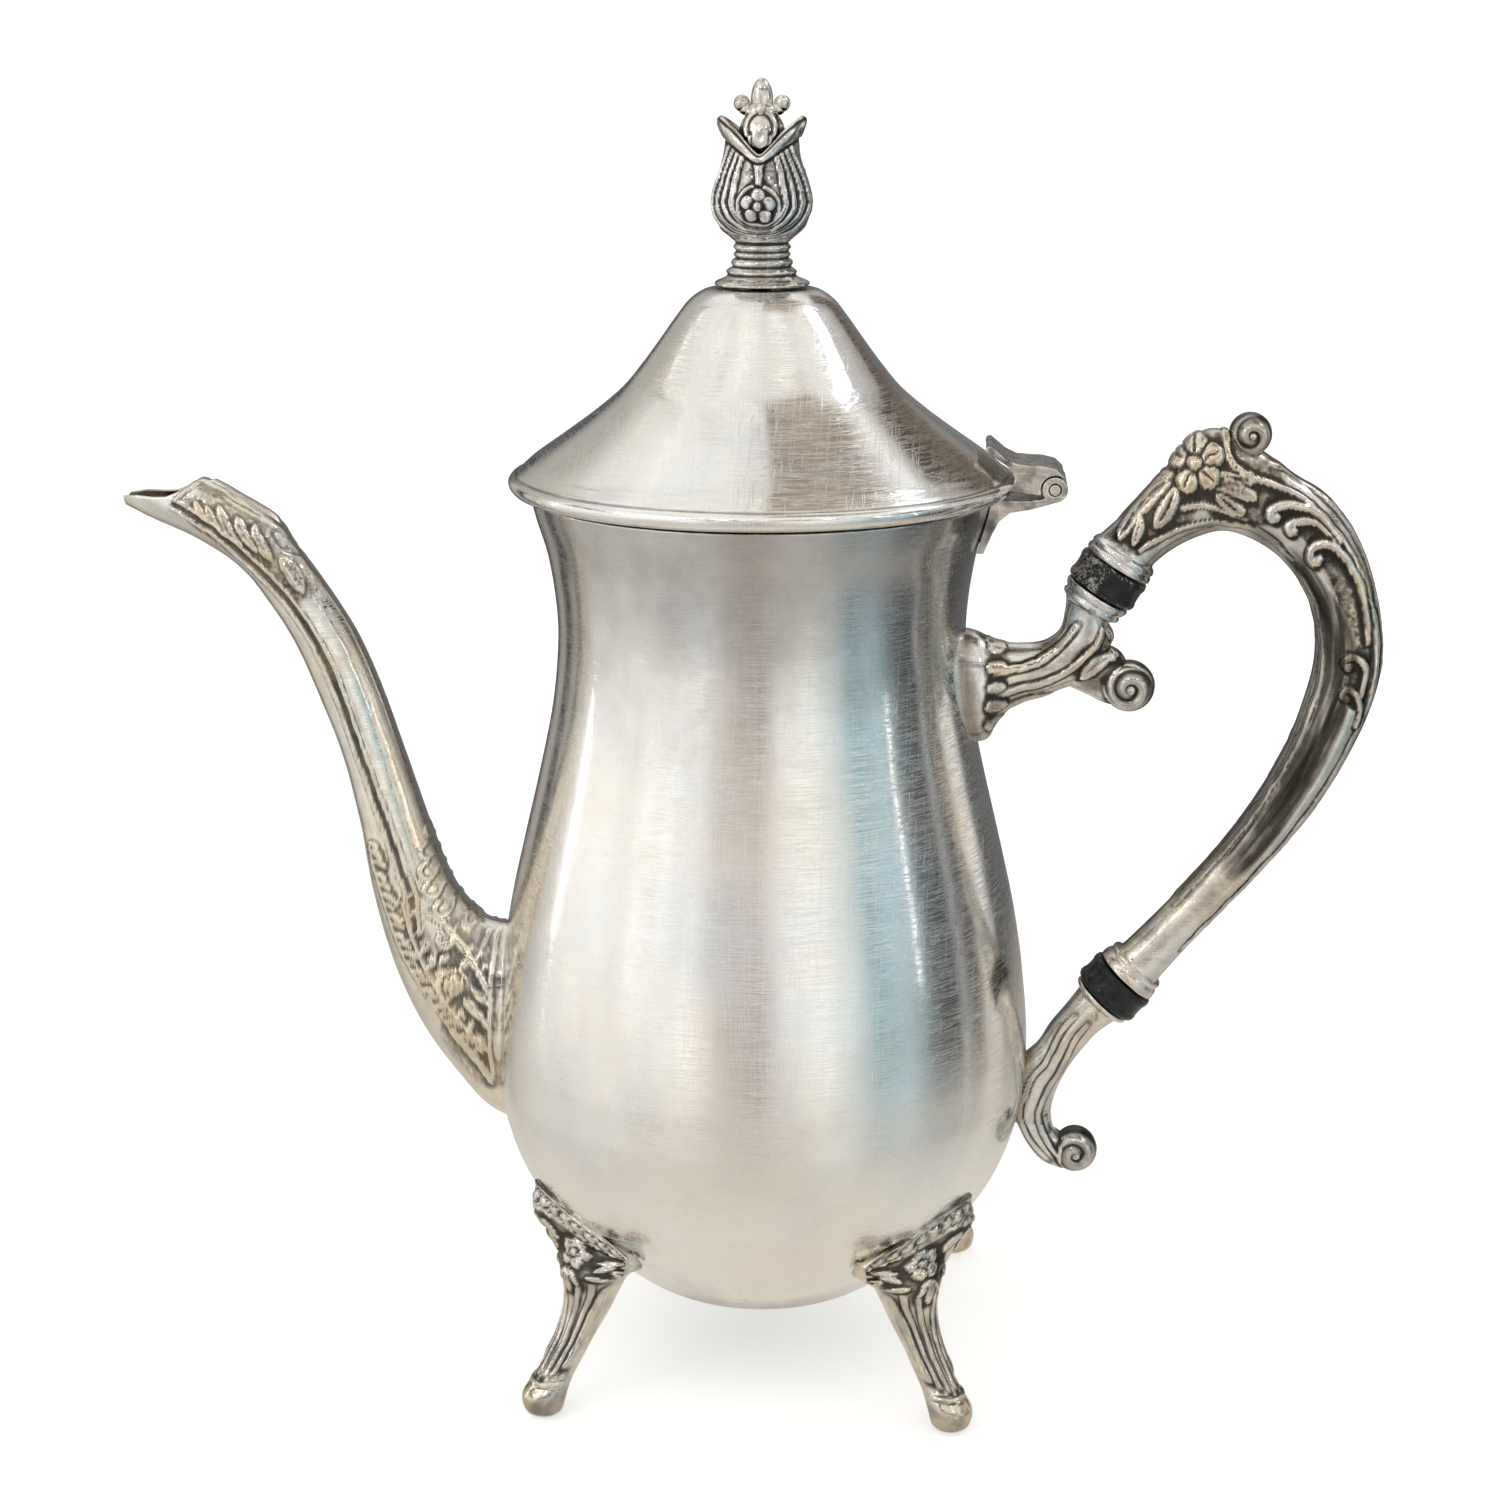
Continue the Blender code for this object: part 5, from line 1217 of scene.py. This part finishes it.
# ================================================================ finial
FIN = [
    (0.0, 219.5), (1.6, 219.5), (2.0, 220.0), (2.0, 229.5), (9.3, 229.5), (9.6, 229.7), (9.6, 230.05), (8.9, 230.5), (7.6, 231.0), (6.9, 231.7), (7.1, 232.3), (6.5, 232.9), (5.9, 233.3), (6.2, 233.9), (6.0, 234.5),
    (5.35, 235.0), (5.75, 235.7), (5.3, 236.3), (5.8, 237.0), (5.6, 237.5), (5.3, 237.9), (5.9, 238.5), (7.0, 239.3), (8.5, 240.7), (9.5, 242.8), (9.9, 245.2), (9.65, 248.2), (8.75, 251.6), (7.9, 254.6), (7.5, 257.0), (7.8, 259.4), (8.9, 262.3),
]
stem = np.vstack([resample(FIN[:4], 0.6), resample(FIN[3:7], 0.4)[1:], resample(catmull(FIN[6:22], 8), 0.12)[1:]])
cup = resample(catmull(FIN[21:], 8), 0.2)
cols = 220
a_ = np.linspace(0, 2 * math.pi, cols, endpoint=False)
# two tall petals to the sides, parted by a notch at the front and at the back
rim = 254.6 + 7.6 * np.sqrt(np.cos(a_) ** 2 + 0.006) ** 1.12
s_cup = np.linspace(0, 1, 110)
z_at = cup[0, 1] + (rim[None] - cup[0, 1]) * s_cup[:, None]
r_out = np.interp(z_at, cup[:, 1], cup[:, 0])
G = np.stack([r_out * np.cos(a_), r_out * np.sin(a_), z_at], 2)
d_front = np.where(G[..., 1] < 0, np.arctan2(G[..., 1], G[..., 0]) + math.pi / 2, np.arctan2(G[..., 1], G[..., 0]) - math.pi / 2)
arc = d_front * 9.4
q = Relief()
q.ground([(0, 243.0), (0, 248.0)], 3.4, 0.12)
for k in range(5):
    ang = math.radians(90 + 72 * k)
    q.bead((2.1 * math.cos(ang), 245.6 + 2.1 * math.sin(ang)), 1.5, 0.75, flat=3.0)
q.bead((0, 245.6), 1.05, 1.1)
q.ridge([(3.95 * math.cos(t), 245.6 + 3.95 * math.sin(t)) for t in np.linspace(math.radians(70), math.radians(-250), 22)], 0.55, h=0.6, taper=0.0)
for j, rr in enumerate((5.4, 7.3, 9.5, 12.2)):
    low = 4.9 + 0.36 * (rr - 5.3)
    path = [(-rr * 0.60, 261.5), (-rr * 0.74, 256.5), (-rr * 0.9, 251.5)]
    path += [(rr * math.cos(t), 246.6 + low * math.sin(t)) for t in np.linspace(math.radians(180), math.radians(360), 13)]
    path += [(rr * 0.9, 251.5), (rr * 0.74, 256.5), (rr * 0.60, 261.5)]
    q.ridge(path, 0.82, h=0.72 - 0.03 * j, power=0.75, taper=0.02, per=4, split=(j % 2 == 0))
q.ridge([(0, 249.6), (0, 252.0), (0, 256.4)], 0.7, 1.6, h=0.85, power=0.7, taper=0.03)
for sx in (-1, 1):
    q.groove([(sx * 1.9, 249.8), (sx * 2.0, 252.6), (sx * 2.2, 256.0)], 0.9, 0.8, h=0.55)
hh, ww = q.height_at(arc + 0.3 * fbm(G + 2.0, 3.0, 2), G[..., 2] + 0.3 * fbm(G + 13.0, 3.0, 2))
fade = smooth(G[..., 2], 238.8, 240.6) * (1 - 0.7 * smooth(s_cup, 0.96, 1.0))[:, None]
hh, ww = hh * fade, np.maximum(ww, 0.35) * fade
Nn = grid_normals(G)
# a broad rounded border on the petals, running down into the rib between them
below = rim[None] - z_at
wide_b = 1.5 + 2.4 * np.abs(np.cos(a_))[None] ** 1.5
u_b = below / wide_b
border = (0.45 + 0.25 * np.abs(np.cos(a_))[None]) * np.clip(1 - (2 * u_b - 1) ** 2, 0, 1) ** 0.6
hh = np.maximum(hh * smooth(u_b, 0.9, 1.25), border) - 0.15 * np.exp(-((u_b - 1.08) / 0.10) ** 2)
ww = np.maximum(ww, 1 - smooth(u_b, 1.2, 1.5))
G_out = G + Nn * (hh - 0.15 + 0.10 * fbm(G, 0.9, 2) + 0.16 * fbm(G + 7.0, 3.0, 2))[..., None]
w_out = hollow_tarnish_and_shade(hh, ww, 2, 3, depth=0.15)
inward = G.copy()
thick = 0.95 + 0.3 * (1 - s_cup)[:, None]
shrink = np.maximum(r_out - 0.55 - thick, 0.5) / r_out
inward[..., 0] *= shrink
inward[..., 1] *= shrink
lip = []
for f in (0.25, 0.5, 0.75):
    m = G_out[-1] * (1 - f) + inward[-1] * f
    m[:, 2] += 0.45 * math.sin(math.pi * f)
    lip.append(m)
floor_ring = inward[30:][::-1]
cup_grid = np.vstack([G_out, np.array(lip), floor_ring])
# tarnish and painted shade in the hollows of the cup's relief; its inner floor is darker, fading in from the rim
cup_tarnish_and_shade = np.vstack([w_out, np.full((3, cols), 1.0), np.full((len(floor_ring), cols), 0.35)])
cup_tarnish_and_shade[-len(floor_ring):][:6] = np.linspace(0.9, 0.35, 6)[:, None]
p = Piece()
S = turned(stem, cols)
zz = S[..., 2]
# the grooves between the stem's rings are darkened: tarnish and painted shade
groove_tarnish_and_shade = np.clip(1 - 0.9 * (np.exp(-((zz - 238.0) / 0.35) ** 2) + np.exp(-((zz - 236.3) / 0.25) ** 2) + np.exp(-((zz - 235.0) / 0.25) ** 2) + np.exp(-((zz - 233.3) / 0.25) ** 2) + np.exp(-((zz - 231.7) / 0.3) ** 2)), 0.1, 1)
S = S + grid_normals(S) * ((0.06 * fbm(S, 0.8, 2) + 0.16 * fbm(S + 4.0, 2.6, 2)) * (np.hypot(S[..., 0], S[..., 1]) > 4))[..., None]
body_grid = np.vstack([S[:-1], cup_grid])
finial_tarnish_and_shade = np.vstack([groove_tarnish_and_shade[:-1], cup_tarnish_and_shade])
p.grid(body_grid, cav=finial_tarnish_and_shade, tint=np.clip(1.15 - finial_tarnish_and_shade, 0, 0.85) * 0.9, caps=(False, True))


def lump(piece, centre, radii, rows=26, cols=56, relief=None, wear_and_shade=0.95, lean=(0, 0)):
    u = np.linspace(0.001, math.pi - 0.001, rows)
    a = np.linspace(0, 2 * math.pi, cols, endpoint=False)
    x = np.sin(u)[:, None] * np.cos(a)[None]
    y = np.sin(u)[:, None] * np.sin(a)[None]
    z = np.repeat(-np.cos(u)[:, None], cols, 1)
    L = np.stack([x * radii[0], y * radii[1], z * radii[2]], 2)
    w = np.full(L.shape[:2], wear_and_shade)
    L = L + np.array(centre)
    if relief is not None:
        n_ = grid_normals(L)
        hgt, wk = relief.height_at(L[..., 0] - centre[0], L[..., 2])
        hgt = hgt * np.clip(np.abs(n_[..., 1]), 0, 1) ** 0.5
        w = hollow_tarnish_and_shade(hgt, wk, 2, 2)
        L = L + n_ * hgt[..., None]
    L = L + 0.07 * np.stack([fbm(L + 3, 1.1, 2), fbm(L + 9, 1.1, 2), np.zeros(L.shape[:2])], 2)
    piece.grid(L, cav=w, caps=(True, True))


bud = Relief()
bud.ridge([(2.9 * math.cos(t), 260.2 + 3.4 * math.sin(t)) for t in np.linspace(math.radians(-20), math.radians(200), 14)], 0.6, h=0.6, taper=0.0)
bud.groove([(0, 257.8), (0, 259.4)], 0.8, 0.7, h=0.7, taper=0.2)
bud.ridge([(-1.9, 254.2), (-2.2, 257.0), (-2.0, 259.2)], 0.45, h=0.35)
bud.ridge([(1.9, 254.2), (2.2, 257.0), (2.0, 259.2)], 0.45, h=0.35)
lump(p, (0, 0, 258.6), (4.7, 5.6, 5.6), rows=44, cols=88, relief=bud)
lump(p, (0, 0, 265.35), (2.25, 2.1, 4.55))
lump(p, (0, 0, 263.4), (3.5, 3.3, 2.1))
for sx in (-1, 1):
    lump(p, (4.0 * sx, 0, 265.0), (1.6, 1.6, 1.65))
    lump(p, (2.9 * sx, 0, 263.9), (1.7, 1.5, 1.3))
    lump(p, (0, 3.1 * sx, 263.9), (1.2, 1.3, 1.2))
p.build("finial_cast", "lid", M_FINIAL, ["finial"], "finial")


# ================================================================ small parts, rounded from the CAD shapes
def rounded(name, node_name, body, material, voxel=0.00022, rounds=2, grain=0.02):
    src = NODES[node_name]
    me = src.data.copy()
    me.name = name
    obj = bpy.data.objects.new(name, me)
    bpy.context.scene.collection.objects.link(obj)
    m = obj.modifiers.new("remesh", "REMESH")
    m.mode = "VOXEL"
    m.voxel_size = voxel
    s = obj.modifiers.new("smooth", "SMOOTH")
    s.factor = 0.5
    s.iterations = rounds
    dg = bpy.context.evaluated_depsgraph_get()
    new = bpy.data.meshes.new_from_object(obj.evaluated_get(dg))
    obj.modifiers.clear()
    obj.data = new
    new.name = name
    co = np.zeros(len(new.vertices) * 3, np.float32)
    new.vertices.foreach_get("co", co)
    co = co.reshape(-1, 3)
    no = np.zeros(len(new.vertices) * 3, np.float32)
    new.vertices.foreach_get("normal", no)
    no = no.reshape(-1, 3)
    hgt = grain * fbm(co / MM, 1.6, 3)
    lo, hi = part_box(node_name)
    co2 = co + no * hgt[:, None] * MM
    co2 = np.clip(co2, np.array(lo), np.array(hi))
    new.vertices.foreach_set("co", co2.astype(np.float32).ravel())
    att = new.attributes.new("wear_and_shade", "FLOAT", "POINT")
    att.data.foreach_set("value", np.clip(0.86 + 0.5 * fbm(co / MM, 2.5, 2), 0.25, 1).astype(np.float32))
    new.shade_smooth()
    new.materials.clear()
    new.materials.append(material)
    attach(obj, body)
    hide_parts(node_name)
    return obj


rounded("hinge_plate_lid", "hinge_lid_leaf", "lid", M_HINGE)
rounded("hinge_plate_body", "hinge_body_leaf", "pot", M_HINGE)
rounded("hinge_pin_turned", "hinge_pin", "pot", M_HINGE, voxel=0.00016)
for nm in ("upper_pin_socket", "upper_pin_handle", "lower_pin_socket", "lower_pin_handle"):
    rounded(nm + "_peened", nm, "pot", M_DULL, voxel=0.00014, rounds=1)
rounded("finial_washer_turned", "finial_washer", "lid", M_SOLDER, voxel=0.00018)
rounded("finial_nut_hex", "finial_nut", "lid", M_SOLDER, voxel=0.00018)

# ================================================================ stage: floor, light, camera
def emissive(name, color, strength):
    mat = bpy.data.materials.new(name)
    mat.use_nodes = True
    t = mat.node_tree
    t.nodes.clear()
    out = t.nodes.new("ShaderNodeOutputMaterial")
    em = t.nodes.new("ShaderNodeEmission")
    em.inputs[0].default_value = (*color, 1)
    em.inputs[1].default_value = strength
    t.links.new(em.outputs[0], out.inputs[0])
    return mat


def floor_piece(name, size, height, glow, tone):
    mat = bpy.data.materials.new(name)
    mat.use_nodes = True
    sh = mat.node_tree.nodes["Principled BSDF"]
    sh.inputs["Base Color"].default_value = (*tone, 1)
    sh.inputs["Roughness"].default_value = 0.8
    sh.inputs["Specular IOR Level"].default_value = 0.1
    sh.inputs["Emission Color"].default_value = (1, 1, 1, 1)
    sh.inputs["Emission Strength"].default_value = glow
    bm = bmesh.new()
    bmesh.ops.create_circle(bm, cap_ends=True, segments=96, radius=size)
    me = bpy.data.meshes.new(name)
    bm.to_mesh(me)
    bm.free()
    obj = bpy.data.objects.new(name, me)
    bpy.context.scene.collection.objects.link(obj)
    obj.location.z = height
    me.materials.append(mat)
    return obj


# The wide floor shows to the camera; what the silver reflects of it is the warm patch close by.
wide = floor_piece("floor", 8.0, 0.0, 0.52, (0.90, 0.895, 0.885))
wide.visible_glossy = False
near = floor_piece("floor_near", 0.46, -0.0002, 0.0, (0.88, 0.83, 0.755))
fade = near.data.materials[0].node_tree
out_n = [n for n in fade.nodes if n.type == "OUTPUT_MATERIAL"][0]
shader_in = out_n.inputs["Surface"].links[0].from_socket
sepn = fade.nodes.new("ShaderNodeSeparateXYZ")
fade.links.new(fade.nodes.new("ShaderNodeTexCoord").outputs["Object"], sepn.inputs[0])
rad2 = math_node(fade, "ADD", math_node(fade, "MULTIPLY", sepn.outputs[0], sepn.outputs[0]), math_node(fade, "MULTIPLY", sepn.outputs[1], sepn.outputs[1]))
clear = fade.nodes.new("ShaderNodeBsdfTransparent")
blend_n = fade.nodes.new("ShaderNodeMixShader")
fade.links.new(ramp(fade, math_node(fade, "POWER", rad2, 0.5), [(0.0, 0.0), (0.08, 0.0), (0.22, 0.45), (0.45, 1.0), (1.0, 1.0)]), blend_n.inputs[0])
fade.links.new(shader_in, blend_n.inputs[1])
fade.links.new(clear.outputs[0], blend_n.inputs[2])
fade.links.new(blend_n.outputs[0], out_n.inputs["Surface"])
near.visible_camera = False
near.visible_diffuse = False
near.visible_shadow = False

world = bpy.data.worlds.new("studio")
bpy.context.scene.world = world
world.use_nodes = True
wt = world.node_tree
wt.nodes.clear()
w_out = wt.nodes.new("ShaderNodeOutputWorld")
tc = wt.nodes.new("ShaderNodeTexCoord")
sep = wt.nodes.new("ShaderNodeSeparateXYZ")
wt.links.new(tc.outputs["Generated"], sep.inputs[0])
# 0 is straight towards the photographer (-Y), growing round by the right-hand side
az = math_node(wt, "ARCTAN2", sep.outputs[0], math_node(wt, "MULTIPLY", sep.outputs[1], -1.0))
turn = math_node(wt, "ADD", math_node(wt, "MULTIPLY", az, 0.5 / math.pi), 0.5)


def at(deg):
    return 0.5 + deg / 360.0


bands = ramp(wt, turn, [
    (at(-180), (0.22, 0.22, 0.22)), (at(-158), (0.06, 0.06, 0.07)), (at(-150), (0.40, 0.38, 0.34)), (at(-141), (0.50, 0.48, 0.44)), (at(-137), (0.06, 0.06, 0.07)), (at(-131), (0.08, 0.08, 0.09)), (at(-127), (0.52, 0.50, 0.46)),
    (at(-116), (0.66, 0.63, 0.57)), (at(-100), (0.92, 0.91, 0.88)), (at(-62), (1.10, 1.08, 1.03)),
    (at(-28), (1.02, 1.02, 1.00)), (at(-13), (0.74, 0.70, 0.66)), (at(3), (0.54, 0.47, 0.44)), (at(14), (0.86, 0.86, 0.84)), (at(30), (0.98, 0.99, 0.96)),
    (at(42), (0.88, 0.95, 0.95)), (at(54), (0.30, 0.46, 0.52)), (at(70), (0.44, 0.60, 0.68)), (at(84), (0.14, 0.16, 0.16)), (at(97), (0.06, 0.06, 0.06)), (at(101), (0.52, 0.54, 0.54)), (at(106), (0.08, 0.08, 0.07)),
    (at(113), (0.09, 0.08, 0.07)), (at(117), (0.72, 0.66, 0.58)), (at(128), (0.80, 0.79, 0.76)), (at(133), (0.08, 0.08, 0.08)), (at(156), (0.14, 0.14, 0.14)), (at(180), (0.22, 0.22, 0.22)),
])
height = ramp(wt, math_node(wt, "ADD", math_node(wt, "MULTIPLY", sep.outputs[2], 0.5), 0.5), [
    (0.0, 0.45), (0.24, 0.66), (0.34, 0.88), (0.45, 1.0), (0.58, 1.04), (0.66, 0.86), (1.0, 0.9)])
lit = mix_color(wt, 1.0, bands, height, "MULTIPLY")
# the upper half of the room: one wide bright side ahead, dull behind
upper = ramp(wt, turn, [
    (at(-180), (0.46, 0.45, 0.42)), (at(-165), (0.34, 0.33, 0.32)), (at(-150), (0.50, 0.48, 0.44)), (at(-122), (0.58, 0.56, 0.51)), (at(-115.5), (0.52, 0.50, 0.46)), (at(-113.5), (1.02, 1.01, 0.98)),
    (at(-70), (0.92, 0.92, 0.90)), (at(-20), (1.0, 0.99, 0.96)), (at(30), (0.84, 0.83, 0.81)), (at(84), (0.74, 0.74, 0.75)), (at(92), (0.56, 0.56, 0.58)), (at(126), (0.60, 0.59, 0.58)),
    (at(139), (0.44, 0.40, 0.36)), (at(143), (0.13, 0.10, 0.08)), (at(160), (0.16, 0.13, 0.10)), (at(165), (0.46, 0.46, 0.44)), (at(180), (0.46, 0.45, 0.42))])
lit = mix_color(wt, ramp(wt, sep.outputs[2], [(0.0, 0.0), (0.16, 0.0), (0.34, 1.0), (1.0, 1.0)]), lit, upper)
band_az = ramp(wt, turn, [(at(-108), 0.0), (at(-100), 1.0), (at(-60), 1.0), (at(-52), 0.25), (at(-44), 1.0), (at(24), 1.0), (at(32), 0.3), (at(40), 1.0), (at(84), 1.0), (at(92), 0.0)])
band_el = ramp(wt, sep.outputs[2], [(0.0, 0.0), (0.40, 0.0), (0.44, 1.0), (0.57, 1.0), (0.61, 0.0), (1.0, 0.0)])
lit = mix_color(wt, math_node(wt, "MULTIPLY", math_node(wt, "MULTIPLY", band_az, band_el), 0.85), lit, (0.10, 0.10, 0.11))
# a warm, darker thing overhead, seen in the front of the lid
over = math_node(wt, "MAXIMUM", sep.outputs[2], 0.05)
cu = math_node(wt, "DIVIDE", sep.outputs[0], over)
cv = math_node(wt, "DIVIDE", sep.outputs[1], over)


def step_between(value, a, b, c, d):
    up = wt.nodes.new("ShaderNodeMapRange")
    up.interpolation_type = "SMOOTHSTEP"
    wt.links.new(value, up.inputs[0])
    up.inputs[1].default_value, up.inputs[2].default_value = a, b
    down = wt.nodes.new("ShaderNodeMapRange")
    down.interpolation_type = "SMOOTHSTEP"
    wt.links.new(value, down.inputs[0])
    down.inputs[1].default_value, down.inputs[2].default_value = c, d
    down.inputs[3].default_value, down.inputs[4].default_value = 1.0, 0.0
    return math_node(wt, "MULTIPLY", up.outputs[0], down.outputs[0])


panel = step_between(math_node(wt, "ADD", cu, math_node(wt, "MULTIPLY", cv, 0.55)), -0.67, -0.61, 0.9, 1.2)
panel = math_node(wt, "MULTIPLY", panel, ramp(wt, sep.outputs[2], [(0.0, 0.0), (0.52, 0.0), (0.70, 1.0), (1.0, 1.0)]))
lit = mix_color(wt, panel, lit, (0.97, 0.965, 0.94))
patch = math_node(wt, "MULTIPLY", step_between(cu, 0.0, 0.05, 0.42, 0.66), step_between(cv, -0.36, -0.10, 0.36, 0.66))
patch = math_node(wt, "MULTIPLY", math_node(wt, "MULTIPLY", patch, ramp(wt, sep.outputs[2], [(0.0, 0.0), (0.5, 0.0), (0.62, 1.0), (1.0, 1.0)])), 0.82)
lit = mix_color(wt, patch, lit, (0.26, 0.19, 0.12))
# the room is never quite even
uneven = ramp(wt, noise(wt, tc.outputs["Generated"], 2.6, 3.0, 0.55), [(0.0, 0.78), (0.34, 0.78), (0.66, 1.14), (1.0, 1.14)])
lit = mix_color(wt, 1.0, lit, uneven, "MULTIPLY")
bg_light = wt.nodes.new("ShaderNodeBackground")
wt.links.new(lit, bg_light.inputs[0])
bg_light.inputs[1].default_value = 1.0
bg_cam = wt.nodes.new("ShaderNodeBackground")
bg_cam.inputs[0].default_value = (1, 1, 1, 1)
bg_cam.inputs[1].default_value = 1.05
lp = wt.nodes.new("ShaderNodeLightPath")
mixw = wt.nodes.new("ShaderNodeMixShader")
wt.links.new(lp.outputs["Is Camera Ray"], mixw.inputs[0])
wt.links.new(bg_light.outputs[0], mixw.inputs[1])
wt.links.new(bg_cam.outputs[0], mixw.inputs[2])
wt.links.new(mixw.outputs[0], w_out.inputs[0])


def area(name, place, target, size, power, color=(1, 1, 1)):
    light = bpy.data.lights.new(name, "AREA")
    light.shape = "RECTANGLE"
    light.size, light.size_y = size
    light.energy = power
    light.color = color
    obj = bpy.data.objects.new(name, light)
    bpy.context.scene.collection.objects.link(obj)
    obj.location = place
    from mathutils import Vector
    obj.rotation_euler = (Vector(target) - Vector(place)).to_track_quat("-Z", "Y").to_euler()
    return obj


area("key_soft", (-0.75, -0.75, 0.75), (0, 0, 0.12), (0.50, 0.70), 0.95, (1.0, 0.99, 0.97))
area("fill_right", (0.95, -0.55, 0.55), (0, 0, 0.12), (0.20, 0.45), 0.30, (0.90, 0.96, 1.0))
area("window", (0.84, 0.24, 1.115), (0.015, 0.0, 0.215), (0.24, 0.34), 0.60, (0.93, 0.97, 1.0))
for nm, place, size, power in (("spark_a", (-0.25, -0.95, 0.98), (0.11, 0.11), 0.46), ("spark_b", (0.60, -0.80, 0.98), (0.09, 0.09), 0.28), ("spark_c", (-0.95, -0.45, 0.80), (0.08, 0.16), 0.30)):
    area(nm, place, (0, 0, 0.12), size, power).visible_diffuse = False
area("strip_left", (-1.18, 0.21, 0.30), (0, 0, 0.12), (0.03, 0.60), 0.26)
area("strip_right", (1.16, -0.31, 0.30), (0, 0, 0.12), (0.02, 0.60), 0.13)
area("window_edge", (0.735, 0.43, 1.144), (0.015, 0.0, 0.215), (0.035, 0.30), 0.07, (0.45, 0.50, 1.0))

cam = bpy.data.cameras.new("camera")
cam.lens = 64.75
cam.sensor_width = 36
cam.shift_x = -0.00564
cam.dof.use_dof = False
cam.clip_start = 0.01
cam_obj = bpy.data.objects.new("camera", cam)
cam_obj.location = (0.04615, -0.54830, 0.28094)
cam_obj.rotation_euler = (math.radians(74.85), 0, math.radians(4.5))
bpy.context.scene.collection.objects.link(cam_obj)
bpy.context.scene.camera = cam_obj
bpy.context.scene.view_settings.view_transform = "Standard"

bpy.context.view_layer.update()
